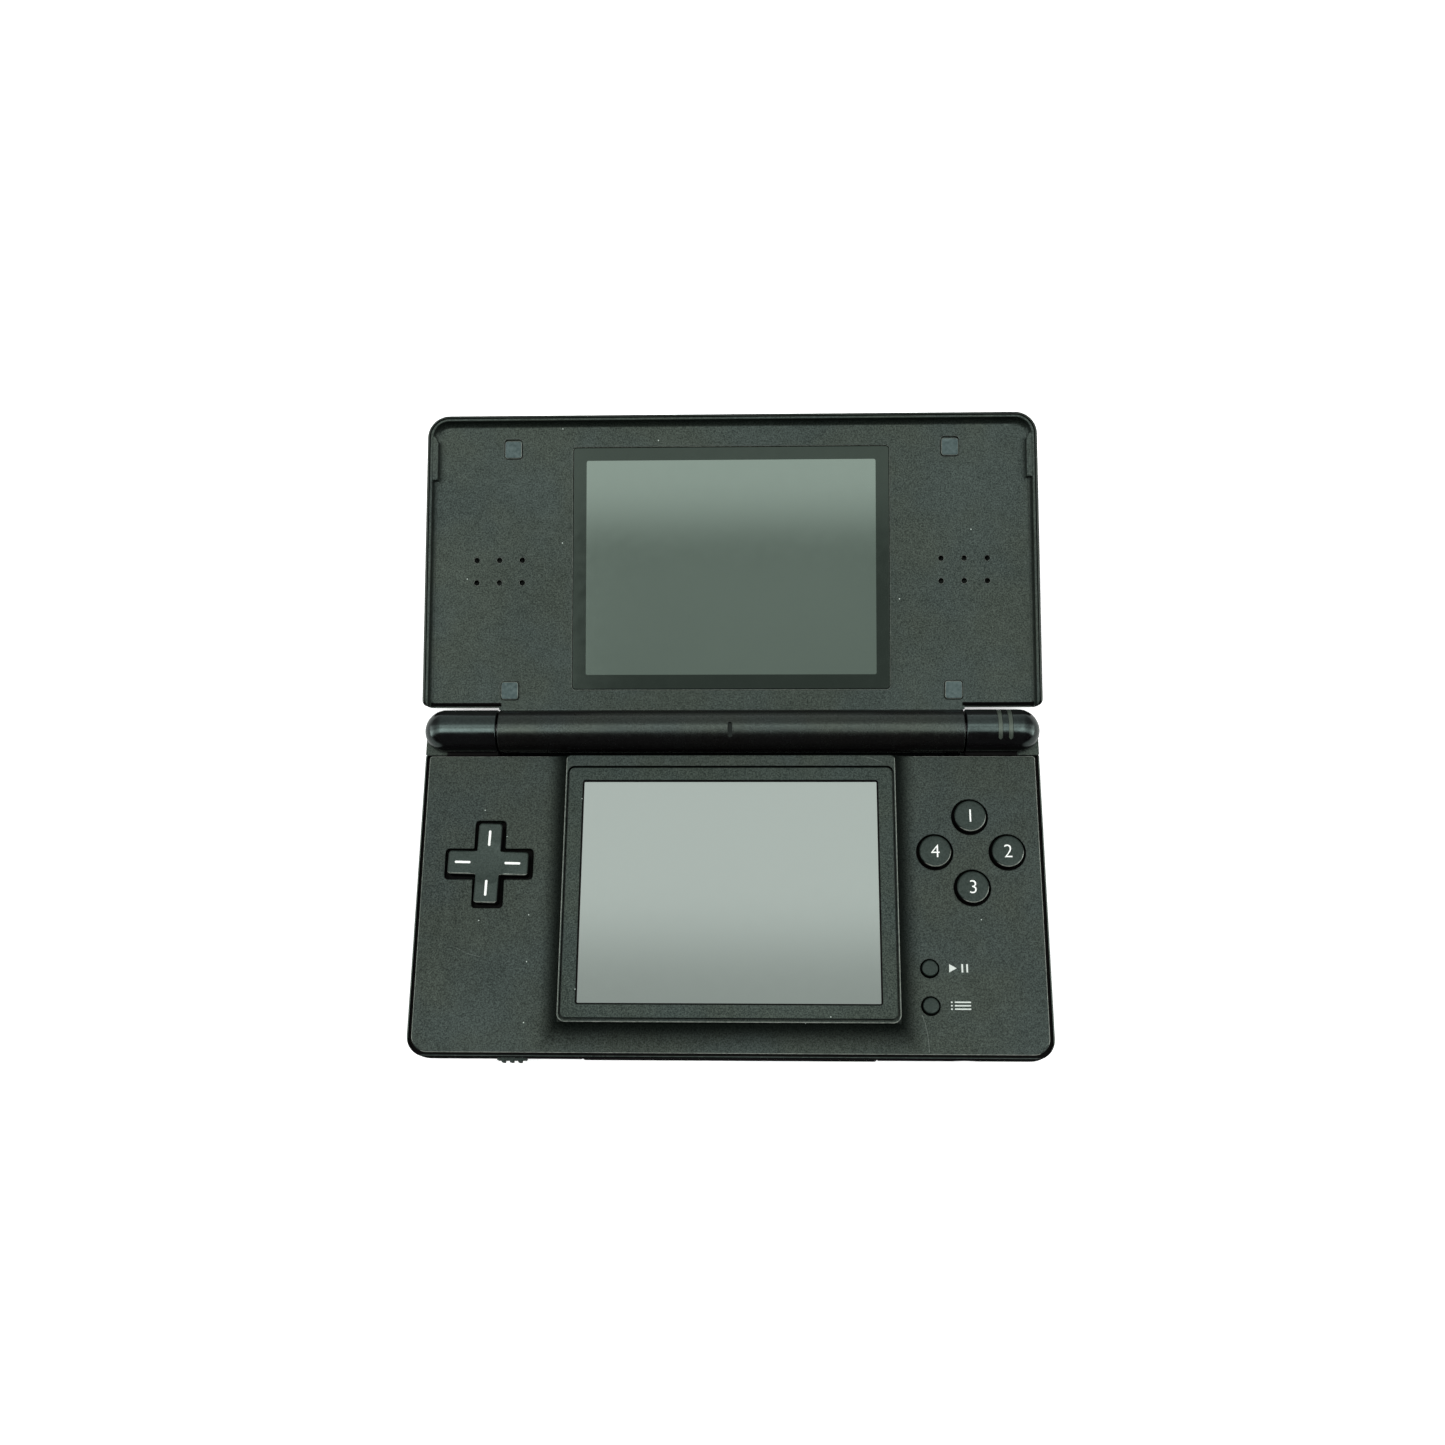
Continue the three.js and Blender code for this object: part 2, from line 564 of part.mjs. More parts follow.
const flapLevels = [[2.2, 0.2], [2.5, 0], [8.3, 0], [8.6, 0.2]];
let slotCover = slab([-30.6, 30.6, -69.8, -67.9], 0.5, flapLevels);
slotCover = slotCover.add(box(-28.4, 28.4, -68.2, -48, 2.6, 7.9));
slotCover = slotCover.subtract(box(-26.8, 26.8, -66.6, -47, 4.0, 9));
addMesh('slot_cover', slotCover, 'shell');

// ---------------------------------------------------------------- lid

function lidCover() {
  const levels = [
    [LID_BACK, 3.4], [LID_BACK + 0.35, 2.0], [LID_BACK + 1.2, 0.9], [LID_BACK + 2.8, 0.2],
    [LID_BACK + 4.4, 0], [-0.7, 0], [0.1, 0.25], [0.4, 0.5],
  ];
  let solid = slab([-HALF_WIDTH, HALF_WIDTH, LID_NEAR, LID_FAR], [4.4, 4.4, 1.5, 1.5], levels);
  const cavity = [-HALF_WIDTH + WALL, HALF_WIDTH - WALL, LID_NEAR + 1.5, LID_FAR - WALL];
  solid = solid.subtract(slab(cavity, 2.8, [[LID_BACK + 1.4, 1], [LID_BACK + 2.4, 0], [2, 0]]));
  solid = solid.subtract(slab([-65.9, 65.9, LID_NEAR - 3, 68.8], 3.8, [[-1.7, 0], [2, 0]]));
  solid = solid.subtract(box(-65.9, 65.9, LID_NEAR - 1, 8, -2.55, 2));
  return solid.subtract(box(-SEAM, SEAM, LID_NEAR - 1, 7.3, -4.8, 2));
}

function lidFace() {
  const rimRect = [-65.8, 65.8, LID_NEAR + 0.15, 68.7];
  const plateRect = [-64.8, 64.8, LID_NEAR + 1.6, 67.7];
  let solid = slab(rimRect, [3.7, 3.7, 0.9, 0.9], [[-1.6, 0], [0.35, 0], [LID_RIM, 0.15]]);
  solid = solid.add(slab(plateRect, 2.7, [[-2.8, 0], [-1.5, 0]]));
  solid = solid.add(box(-65.7, 65.7, LID_NEAR + 0.15, 7.9, -2.5, -1.5));
  const recessRect = [-65.15, 65.15, LID_NEAR - 4, 68.05];
  const recessLevels = [[LID_FACE, 1.15], [-1.3, 0.7], [-1.0, 0.35], [-0.5, 0.1], [1, 0]];
  solid = solid.subtract(slab(recessRect, 3.1, recessLevels));
  // the two ledges inside the far corners of the rim
  const ledge = [63.9, 65.5, 55.3, 64.6];
  const ledgeSolid = slab(ledge, [0.4, 1.6, 0.3, 0.3], [[-1.6, 0], [0.2, 0], [0.35, 0.15]]);
  solid = solid.add(ledgeSolid).add(mirroredX(ledgeSolid));
  // neck and centre hinge barrel
  solid = solid.add(box(-SEAM + 0.2, SEAM - 0.2, 0, 7.1, -BARREL_R, LID_FACE));
  solid = solid.add(cylinderX(0, 0, BARREL_R, -SEAM + 0.2, SEAM - 0.2, 32));
  solid = solid.subtract(cylinderX(0, 0, 2.0, -60, -44, 16));
  solid = solid.subtract(cylinderX(0, 0, 2.2, 44, 60, 16));
  solid = solid.subtract(box(-3, 3, -2, 2, 0.4, 3.6));
  solid = solid.subtract(slab([-0.52, 0.52, -1.8, 1.8], 0.5, [[3, 0], [6, 0]]));
  // screen pocket, window, pad pockets and speaker holes
  solid = solid.subtract(slab(LENS_RECT, 0.7, [[-2.3, 0], [2, 0]]));
  solid = solid.subtract(slab(LID_WINDOW, 0.5, [[-4, 0], [2, 0]]));
  for (const [x, y] of LID_PADS) {
    solid = solid.subtract(slab([x - 2.0, x + 2.0, y - 2.05, y + 2.05], 0.75, [[-2.1, 0], [2, 0]]));
  }
  for (const side of [-1, 1]) {
    for (const column of [-1, 0, 1]) {
      for (const row of [-1, 1]) {
        const x = side * SPEAKER_X + column * 5.02;
        solid = solid.subtract(cylinderZ(x, SPEAKER_Y + row * 2.49, 0.66, -4, 0, 8));
      }
    }
  }
  return solid;
}

addLidMesh('lid_cover', lidCover(), 'shell');
addLidMesh('lid_face', lidFace(), 'face');
addLidMesh('upper_lens', slab(shrunk(LENS_RECT, 0.1), 0.6, [[-2.25, 0], [LID_FACE, 0]]), 'lens');
addLidMesh('upper_lcd', slab([-33.4, 33.4, 10.6, 61.6], 0.4, [[-6.6, 0], [-2.86, 0]]), 'inner');
const padNames = ['pad_far_left', 'pad_far_right', 'pad_near_left', 'pad_near_right'];
LID_PADS.forEach(([x, y], i) => {
  const rect = [x - 1.88, x + 1.88, y - 1.93, y + 1.93];
  addLidMesh(padNames[i], slab(rect, 0.62, [[-2.05, 0], [-1.15, 0], [-1.0, 0.15]]), 'rubber');
});
for (const [side, label] of [[-1, 'left'], [1, 'right']]) {
  const x = side * SPEAKER_X;
  const profile = [
    [0, -5.6], [4, -5.6], [4, -4.6], [7.2, -4.0],
    [7.2, -2.9], [6.2, -2.9], [5.6, -3.3], [0, -3.3],
  ];
  addLidMesh(`speaker_${label}`, turnedZ(x, SPEAKER_Y, profile, 16), 'inner');
}
addLidMesh('microphone', cylinderZ(0, 0, 1.7, 0.6, 3.3, 16), 'steel');
addLidMesh('hinge_pin', cylinderX(0, 0, 1.88, -56.8, -44.4, 16), 'steel');

export default group;
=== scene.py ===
"""Clamshell dual-screen handheld game, open nearly flat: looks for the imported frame.

Lengths are written in millimetres and scaled once, when a mesh is made.
The hinge axis runs along X at Y = 0 and Z = HINGE_Z. Lid pieces are drawn flat
about that axis and tilted into place. Nothing is drawn at random.
"""
import bmesh
import bpy
import math
from mathutils import Matrix, Vector

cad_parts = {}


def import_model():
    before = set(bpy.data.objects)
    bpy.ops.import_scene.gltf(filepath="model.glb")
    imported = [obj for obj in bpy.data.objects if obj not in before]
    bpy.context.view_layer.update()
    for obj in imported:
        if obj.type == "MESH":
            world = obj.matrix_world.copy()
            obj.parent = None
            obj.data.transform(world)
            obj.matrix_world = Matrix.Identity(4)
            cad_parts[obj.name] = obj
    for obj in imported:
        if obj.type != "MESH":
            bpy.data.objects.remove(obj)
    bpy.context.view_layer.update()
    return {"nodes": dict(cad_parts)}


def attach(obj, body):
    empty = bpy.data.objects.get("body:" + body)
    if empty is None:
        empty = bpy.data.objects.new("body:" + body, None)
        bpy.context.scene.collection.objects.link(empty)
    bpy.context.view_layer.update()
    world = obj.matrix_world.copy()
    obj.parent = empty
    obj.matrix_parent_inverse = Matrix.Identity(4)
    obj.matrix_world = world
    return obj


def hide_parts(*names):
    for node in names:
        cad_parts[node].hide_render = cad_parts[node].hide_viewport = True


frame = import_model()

MM = 0.001

# ------------------------------------------------------------------ dimensions
HALF_WIDTH = 66.5
FRONT = -69.3
REAR = 4.4
HINGE_Z = 12.6
BARREL_R = 4.65
SEAM = 50.35  # where the centre barrel meets the end barrels
# Lid, flat about the hinge axis: its Y ends, its back, its sunken face and its rim.
TILT = math.radians(14.1)
LID_FAR = 69.4
LID_NEAR = 5.4
LID_BACK = -8.9
LID_FACE = -1.45
LID_RIM = 0.5
# Base: heights of the face plate and of the plateau round the lower screen.
FACE_Z = 11.8
FACE_UNDER = 10.3
PLATEAU_Z = 13.5
FLARE = 4.2  # reach of the hollow fillet at the plateau's foot
# Rectangles are (x0, x1, y0, y1).
PLATEAU = (-35.3, 35.3, -62.35, -5.55)
BEZEL = (-34.87, 34.87, -61.82, -8.1)
SCREEN = (-31.58, 31.58, -58.76, -11.2)
LENS = (-34.75, 34.75, 9.2, 62.8)
DISPLAY = (-31.75, 31.75, 12.45, 59.8)
DPAD = (-51.2, -29.2)
ACTION = (50.9, -26.5)
ACTION_STEP = 7.62
ACTION_R, ACTION_HOLE_R = 3.32, 3.85
OPTION_X = 41.45
OPTION_Y = {"start": -51.0, "select": -58.65}
OPTION_R, OPTION_HOLE_R = 1.66, 1.95
SCREWS = ((-59, -64.2), (59, -64.2), (-44, -9.2), (44, -9.2))
STYLUS_AXIS = (0, -34.5, 4.35)
WINDOWS = (57.6, 59.8)
PADS = {
    "far_left": (-47.96, 62.3), "far_right": (47.96, 62.3),
    "near_left": (-48.4, 9.0), "near_right": (48.4, 9.0),
}
ACTIONS = {
    "top": (ACTION[0], ACTION[1] + ACTION_STEP),
    "right": (ACTION[0] + ACTION_STEP, ACTION[1]),
    "bottom": (ACTION[0], ACTION[1] - ACTION_STEP),
    "left": (ACTION[0] - ACTION_STEP, ACTION[1]),
}
LID = Matrix.Translation((0, 0, HINGE_Z)) @ Matrix.Rotation(TILT, 4, "X")
AT_HINGE = Matrix.Translation((0, 0, HINGE_Z))


# ------------------------------------------------------------------ mesh helpers
def outline(corners, steps=8):
    """Rounds a polygon given as (x, y, radius), counter-clockwise."""
    points = []
    count = len(corners)
    for i, (x, y, radius) in enumerate(corners):
        here = Vector((x, y))
        before = (Vector(corners[i - 1][:2]) - here).normalized()
        after = (Vector(corners[(i + 1) % count][:2]) - here).normalized()
        half = before.angle(after) / 2
        reach = radius / math.tan(half)
        start = here + before * reach
        end = here + after * reach
        centre = here + (before + after).normalized() * (radius / math.sin(half))
        a0 = math.atan2(*(start - centre).yx)
        turn = (math.atan2(*(end - centre).yx) - a0 + math.pi) % (2 * math.pi) - math.pi
        for step in range(steps + 1):
            angle = a0 + turn * step / steps
            points.append((centre.x + radius * math.cos(angle),
                           centre.y + radius * math.sin(angle)))
    return points


def shrunk(rect, by):
    x0, x1, y0, y1 = rect
    return x0 + by, x1 - by, y0 + by, y1 - by


def rounded(rect, radii, inset=0.0, steps=8):
    """Rounded rectangle; radii run front left, front right, rear right, rear left."""
    x0, x1, y0, y1 = rect
    if not isinstance(radii, (tuple, list)):
        radii = (radii,) * 4
    r = [max(v - inset, 0.06) for v in radii]
    return outline([
        (x0 + inset, y0 + inset, r[0]), (x1 - inset, y0 + inset, r[1]),
        (x1 - inset, y1 - inset, r[2]), (x0 + inset, y1 - inset, r[3]),
    ], steps)


def cross(centre, reach, half, tip, root, grow=0.0, steps=5):
    """A plus shape with rounded tips and roots."""
    x, y = centre
    a, b = reach + grow, half + grow
    tip = max(tip + grow, 0.06)
    root = max(root - grow, 0.06)
    corners = [
        (-b, -a, tip), (b, -a, tip), (b, -b, root), (a, -b, tip), (a, b, tip), (b, b, root),
        (b, a, tip), (-b, a, tip), (-b, b, root), (-a, b, tip), (-a, -b, tip), (-b, -b, root),
    ]
    return outline([(x + u, y + v, r) for u, v, r in corners], steps)


def circle(centre, radius, steps=48):
    return [
        (centre[0] + radius * math.cos(2 * math.pi * i / steps),
         centre[1] + radius * math.sin(2 * math.pi * i / steps))
        for i in range(steps)
    ]


class Build:
    """Vertices and faces of one piece, in millimetres."""

    def __init__(self):
        self.verts = []
        self.faces = []

    def loft(self, rings):
        """rings: lists of 3-D points of equal count, lowest first, counter-clockwise from above."""
        base = len(self.verts)
        count = len(rings[0])
        for ring in rings:
            self.verts.extend(tuple(p) for p in ring)
        for level in range(len(rings) - 1):
            low = base + level * count
            high = low + count
            for i in range(count):
                j = (i + 1) % count
                self.faces.append((low + i, low + j, high + j, high + i))
        self.faces.append(tuple(base + i for i in reversed(range(count))))
        top = base + (len(rings) - 1) * count
        self.faces.append(tuple(top + i for i in range(count)))
        return self

    def stack(self, shape, levels):
        """shape(inset) gives an outline; levels hold (z, inset) from the lowest up."""
        return self.loft([[(x, y, z) for x, y in shape(inset)] for z, inset in levels])

    def slab(self, rect, radii, steps, levels):
        """A stack of rounded rectangles with 'steps' facets in each corner."""
        return self.stack(lambda i: rounded(rect, radii, i, steps), levels)

    def box(self, x0, x1, y0, y1, z0, z1):
        ring = [(x0, y0), (x1, y0), (x1, y1), (x0, y1)]
        return self.loft([[(x, y, z) for x, y in ring] for z in (z0, z1)])

    def turned(self, profile, axis, origin, steps=64):
        """profile: (radius, along) pairs; radius 0 only at its ends. axis is X, Y or Z."""
        place = {
            "Z": lambda r, a, t: (r * math.cos(t), r * math.sin(t), a),
            "X": lambda r, a, t: (a, r * math.cos(t), r * math.sin(t)),
            "Y": lambda r, a, t: (r * math.sin(t), a, r * math.cos(t)),
        }[axis]
        rings = []
        for radius, along in profile:
            r = max(radius, 0.004)
            rings.append([
                tuple(Vector(origin) + Vector(place(r, along, 2 * math.pi * i / steps)))
                for i in range(steps)
            ])
        return self.loft(rings)

    def mirrored(self):
        """Moves the piece to the other side of the console."""
        self.verts = [(-x, y, z) for x, y, z in self.verts]
        self.faces = [tuple(reversed(face)) for face in self.faces]
        return self

    def made(self, name, matrix=None):
        """The finished object, in metres, with its faces turned outward."""
        mesh = bpy.data.meshes.new(name)
        verts = [Vector(v) for v in self.verts]
        if matrix is not None:
            verts = [matrix @ v for v in verts]
        mesh.from_pydata([v * MM for v in verts], [], self.faces)
        shape = bmesh.new()
        shape.from_mesh(mesh)
        bmesh.ops.recalc_face_normals(shape, faces=shape.faces)
        shape.to_mesh(mesh)
        shape.free()
        obj = bpy.data.objects.new(name, mesh)
        bpy.context.scene.collection.objects.link(obj)
        return obj


def subtract(obj, cutter_build, matrix=None):
    """Cuts the cutter's solids out of obj and keeps the result as its mesh."""
    cutter = cutter_build.made("cutter", matrix)
    modifier = obj.modifiers.new("cut", "BOOLEAN")
    modifier.operation = "DIFFERENCE"
    modifier.solver = "EXACT"
    modifier.use_self = True
    modifier.object = cutter
    graph = bpy.context.evaluated_depsgraph_get()
    result = bpy.data.meshes.new_from_object(obj.evaluated_get(graph), depsgraph=graph)
    obj.modifiers.clear()
    old = obj.data
    obj.data = result
    result.name = obj.name
    bpy.data.meshes.remove(old)
    used = cutter.data
    bpy.data.objects.remove(cutter)
    bpy.data.meshes.remove(used)
    return obj


def joined(name, objects):
    """One object out of several that share a place."""
    verts, faces = [], []
    for o in objects:
        base = len(verts)
        verts.extend(v.co.copy() for v in o.data.vertices)
        faces.extend(tuple(base + i for i in p.vertices) for p in o.data.polygons)
        used = o.data
        bpy.data.objects.remove(o)
        bpy.data.meshes.remove(used)
    mesh = bpy.data.meshes.new(name)
    mesh.from_pydata(verts, [], faces)
    obj = bpy.data.objects.new(name, mesh)
    bpy.context.scene.collection.objects.link(obj)
    return obj


def smooth(obj, angle=34):
    mesh = obj.data
    mesh.polygons.foreach_set("use_smooth", [True] * len(mesh.polygons))
    mesh.set_sharp_from_angle(angle=math.radians(angle))
    modifier = obj.modifiers.new("normals", "WEIGHTED_NORMAL")
    modifier.keep_sharp = True
    modifier.weight = 50


def piece(obj, material, body, nodes=(), angle=34, dark=None, edge=None, matrix=None,
          edge_material=None):
    """Finishes one piece: shading, material, the nodes it replaces and its body.

    dark and edge take a face's centre, in millimetres, and its normal, both in the flat
    lid's frame where matrix is LID. dark picks gap walls and other faces that get painted shade,
    edge picks edges that get a painted highlight.
    """
    smooth(obj, angle)
    obj.data.materials.clear()
    obj.data.materials.append(material)
    # Painted light: faces picked by dark get the painted shade, faces picked by edge the painted
    # highlight.
    if dark or edge:
        obj.data.materials.append(PAINTED_SHADE)
        obj.data.materials.append(edge_material or PAINTED_HIGHLIGHT)
        back = matrix.inverted() if matrix is not None else Matrix()
        turn = back.to_3x3()
        for polygon in obj.data.polygons:
            centre, normal = back @ (polygon.center / MM), turn @ polygon.normal
            if dark and dark(centre, normal):
                polygon.material_index = 1
            elif edge and edge(centre, normal):
                polygon.material_index = 2
    if nodes:
        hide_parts(*nodes)
    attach(obj, body)
    return obj


def arc_levels(z0, inset0, z1, inset1, steps=6, kind="out"):
    """Levels along a quarter ellipse; 'out' bulges outward, 'foot' is a hollow fillet."""
    levels = []
    for i in range(steps + 1):
        t = math.pi / 2 * i / steps
        if kind == "foot":
            u, v = math.sin(t), 1 - math.cos(t)
        else:
            u, v = 1 - math.cos(t), math.sin(t)
        levels.append((z0 + (z1 - z0) * v, inset0 + (inset1 - inset0) * u))
    return levels


def crown(radius, z, across, rise, steps):
    """Rounded rim of a turned button, from its flank at z inward and up, as (radius, z) pairs."""
    points = []
    for i in range(1, steps + 1):
        t = math.pi / 2 * i / steps
        points.append((radius - across * (1 - math.cos(t)), z + rise * math.sin(t)))
    return points


def rounded_end(at, radius, size):
    """Start of a tube's profile: its flat end and rounded edge, as (radius, along) pairs."""
    points = [(0, at), (radius - size, at)]
    for i in range(5):
        t = math.pi / 2 * i / 4
        points.append((radius - size + size * math.sin(t), at + size * (1 - math.cos(t))))
    return points


def lip(top, radius, z_low, grow=0.0):
    """Levels of a cutter whose mouth rounds outward at 'top'; grow > 0 enlarges the hole."""
    steps = 4
    levels = [(z_low, -grow)]
    for i in range(steps + 1):
        t = math.radians(82) * i / steps
        levels.append((top - radius + radius * math.sin(t), -grow - radius * (1 - math.cos(t))))
    levels.append((top + 1.0, levels[-1][1]))
    return levels


# ------------------------------------------------------------------ materials
def new_material(name):
    material = bpy.data.materials.new(name)
    material.use_nodes = True
    nodes = material.node_tree.nodes
    nodes.clear()
    out = nodes.new("ShaderNodeOutputMaterial")
    shader = nodes.new("ShaderNodeBsdfPrincipled")
    material.node_tree.links.new(shader.outputs[0], out.inputs[0])
    return material, material.node_tree, shader


def noise(tree, coord, scale, detail=2.0, rough=0.5):
    node = tree.nodes.new("ShaderNodeTexNoise")
    node.inputs["Scale"].default_value = scale
    node.inputs["Detail"].default_value = detail
    node.inputs["Roughness"].default_value = rough
    tree.links.new(coord, node.inputs["Vector"])
    return node.outputs["Fac"]


def remap(tree, value, lo, hi, to_lo, to_hi):
    node = tree.nodes.new("ShaderNodeMapRange")
    node.inputs["From Min"].default_value = lo
    node.inputs["From Max"].default_value = hi
    node.inputs["To Min"].default_value = to_lo
    node.inputs["To Max"].default_value = to_hi
    tree.links.new(value, node.inputs["Value"])
    return node.outputs["Result"]


def math_node(tree, kind, a, b=None):
    node = tree.nodes.new("ShaderNodeMath")
    node.operation = kind
    for socket, value in zip(node.inputs, (a, b)):
        if value is None:
            continue
        if isinstance(value, (int, float)):
            socket.default_value = value
        else:
            tree.links.new(value, socket)
    return node.outputs[0]


def mix_colour(tree, factor, a, b):
    node = tree.nodes.new("ShaderNodeMix")
    node.data_type = "RGBA"
    if isinstance(factor, (int, float)):
        node.inputs["Factor"].default_value = factor
    else:
        tree.links.new(factor, node.inputs["Factor"])
    for key, value in (("A", a), ("B", b)):
        socket = next(s for s in node.inputs if s.name == key and s.type == "RGBA")
        if isinstance(value, tuple):
            socket.default_value = (*value, 1.0)
        else:
            tree.links.new(value, socket)
    return next(s for s in node.outputs if s.type == "RGBA")


def object_coords(tree):
    return tree.nodes.new("ShaderNodeTexCoord").outputs["Object"]


def bump(tree, shader, height, strength, distance):
    node = tree.nodes.new("ShaderNodeBump")
    node.inputs["Strength"].default_value = strength
    node.inputs["Distance"].default_value = distance
    tree.links.new(height, node.inputs["Height"])
    tree.links.new(node.outputs[0], shader.inputs["Normal"])


def painted_foot_shade(tree, coord, amount):
    """Painted shade at the plateau's foot: the share of sheen kept, least at its outline, all of it
    about FLARE away.
    """
    split = tree.nodes.new("ShaderNodeSeparateXYZ")
    tree.links.new(coord, split.inputs[0])
    beside = math_node(tree, "SUBTRACT", math_node(tree, "ABSOLUTE", split.outputs["X"]),
                       PLATEAU[1] * MM)
    before = math_node(tree, "SUBTRACT", PLATEAU[2] * MM, split.outputs["Y"])
    away = math_node(tree, "MAXIMUM", beside, math_node(tree, "MULTIPLY", before, 0.7))
    kept = remap(tree, away, 0.0, FLARE * 1.2 * MM, 1.0 - amount, 1.0)
    kept.node.interpolation_type = "SMOOTHSTEP"
    on_top = remap(tree, away, -0.0001, 0.00005, 1.0, 0.0)
    return math_node(tree, "MAXIMUM", kept, on_top)


def plastic(name, dark, light, rough, rough_spread, grain, grain_depth, specular,
            speck=0.0, tint=(0.86, 1.0, 0.9), spread=0.0, patches=0.35, ior=1.5, drift=None,
            foot=0.0, flat=False):
    """Moulded plastic: grain in its colour, gloss and height, broad patches, a few pale specks.

    grain is the noise scale per metre and grain_depth its height in metres. spread varies the
    gloss, drift is a second tint for its broad patches, foot paints shade beside the plateau by
    dulling the gloss there, and flat lays the specks out in the X-Y plane.
    """
    material, tree, shader = new_material(name)
    coord = object_coords(tree)
    fine = noise(tree, coord, grain, 3.0, 0.6)
    broad = noise(tree, coord, 45.0, 3.0, 0.5)
    blotch = noise(tree, coord, 380.0, 2.0, 0.5)
    shade = math_node(tree, "ADD", math_node(tree, "MULTIPLY", fine, 1 - patches),
                      math_node(tree, "MULTIPLY", broad, patches))
    colour = mix_colour(tree, remap(tree, shade, 0.35, 0.65, 0.0, 1.0), dark, light)
    if speck:
        dots = tree.nodes.new("ShaderNodeTexVoronoi")
        dots.inputs["Scale"].default_value = 190.0
        if flat:
            dots.voronoi_dimensions = "2D"
        tree.links.new(coord, dots.inputs["Vector"])
        near = remap(tree, dots.outputs["Distance"], 0.026, 0.016, 0.0, 1.0)
        pick = tree.nodes.new("ShaderNodeSeparateColor")
        tree.links.new(dots.outputs["Color"], pick.inputs[0])
        chosen = remap(tree, pick.outputs[0], 0.94, 0.945, 0.0, speck)
        colour = mix_colour(tree, math_node(tree, "MULTIPLY", near, chosen), colour,
                            (0.5, 0.56, 0.52))
    tree.links.new(colour, shader.inputs["Base Color"])
    tree.links.new(remap(tree, blotch, 0.3, 0.7, rough - rough_spread, rough + rough_spread),
                   shader.inputs["Roughness"])
    shader.inputs["Specular IOR Level"].default_value = specular
    if spread:
        sheen = remap(tree, shade, 0.35, 0.65, specular - spread, specular + spread)
        # Painted shade: the gloss is dulled beside the plateau's foot.
        if foot:
            sheen = math_node(tree, "MULTIPLY", sheen, painted_foot_shade(tree, coord, foot))
        tree.links.new(sheen, shader.inputs["Specular IOR Level"])
    shader.inputs["Specular Tint"].default_value = (*tint, 1.0)
    if drift:
        cast = remap(tree, noise(tree, coord, 70.0, 2.0, 0.5), 0.4, 0.62, 0.0, 1.0)
        tree.links.new(mix_colour(tree, cast, tint, drift), shader.inputs["Specular Tint"])
    shader.inputs["IOR"].default_value = ior
    bump(tree, shader, fine, 1.0, grain_depth)
    return material


GREEN = (0.84, 1.0, 0.86)
BLUISH = (0.8, 0.99, 0.92)
# Painted shade: a near-black finish laid on gap walls, key flanks, undersides and the feet under
# the end barrels, where shade falls.
PAINTED_SHADE = plastic("painted_gap_shade", (0.0015, 0.001, 0.0012), (0.003, 0.002, 0.0024), 0.7, 0.05,
              1500.0, 0.000002, 0.08)
FACE = plastic("face_matte", (0.003, 0.005, 0.004), (0.01, 0.013, 0.011), 0.42, 0.03,
               3500.0, 0.00002, 0.362, speck=0.9, spread=0.2, tint=GREEN, patches=0.12,
               drift=BLUISH, flat=True)
# A darker copy of the face finish for the base, carrying painted shade: its gloss is dulled at the
# plateau's foot.
FACE_BASE = plastic("face_base_matte", (0.0016, 0.0024, 0.002), (0.006, 0.008, 0.0068), 0.42, 0.03,
                    3500.0, 0.00002, 0.367, speck=0.9, spread=0.2, tint=GREEN, patches=0.12,
                    drift=BLUISH, foot=0.97, flat=True)
BEZEL_MAT = plastic("bezel_matte", (0.003, 0.006, 0.005), (0.01, 0.014, 0.012), 0.42, 0.03,
                    3500.0, 0.00002, 0.322, speck=0.9, spread=0.2, tint=GREEN, patches=0.12,
                    drift=BLUISH, flat=True)
# Painted highlight: a pale finish laid on rims and edges that face the light, in place of their
# reflections.
PAINTED_HIGHLIGHT = plastic("painted_edge_highlight", (0.08, 0.092, 0.082), (0.24, 0.255, 0.23), 0.32, 0.05,
               1500.0, 0.000004, 0.7, spread=0.2, tint=GREEN, patches=0.3)
# Painted highlight along the up-facing top lip of the base shell.
PAINTED_BEAD_HIGHLIGHT = plastic("painted_bead_highlight", (0.014, 0.018, 0.017), (0.045, 0.055, 0.052), 0.25, 0.05,
               1200.0, 0.000002, 0.55, tint=GREEN, patches=0.5)
SCRATCH = plastic("scratch_pale", (0.05, 0.058, 0.053), (0.13, 0.145, 0.135), 0.5, 0.05,
                  1500.0, 0.000002, 0.4, patches=0.4)
SHELL = plastic("shell_gloss", (0.0016, 0.0018, 0.0018), (0.003, 0.0036, 0.0034), 0.16, 0.025,
                900.0, 0.0000003, 0.36, patches=0.7)
KNUCKLE = plastic("knuckle_gloss", (0.0014, 0.0008, 0.0012), (0.003, 0.0022, 0.0028), 0.17, 0.04,
                  2600.0, 0.000005, 0.54, tint=(0.76, 1.0, 0.95), spread=0.14, patches=0.3)
BARREL = plastic("barrel_matte", (0.0012, 0.0006, 0.0009), (0.0036, 0.0028, 0.0032), 0.26, 0.03,
                 3500.0, 0.00001, 0.48, speck=0.9, spread=0.16, tint=GREEN, patches=0.12,
                 drift=BLUISH)
KEY = plastic("key_satin", (0.005, 0.009, 0.007), (0.011, 0.016, 0.014), 0.36, 0.05,
              3000.0, 0.000005, 0.335, speck=0.5, spread=0.1, tint=(0.82, 1.0, 0.92))
CAP = plastic("cap_satin", (0.005, 0.009, 0.007), (0.011, 0.016, 0.014), 0.36, 0.05,
              3000.0, 0.000005, 0.235, spread=0.08, tint=(0.82, 1.0, 0.92))
RUBBER = plastic("pad_rubber", (0.02, 0.034, 0.036), (0.05, 0.07, 0.07), 0.55, 0.06,
                 1500.0, 0.00002, 0.4, tint=(0.8, 1.0, 0.97), spread=0.15)
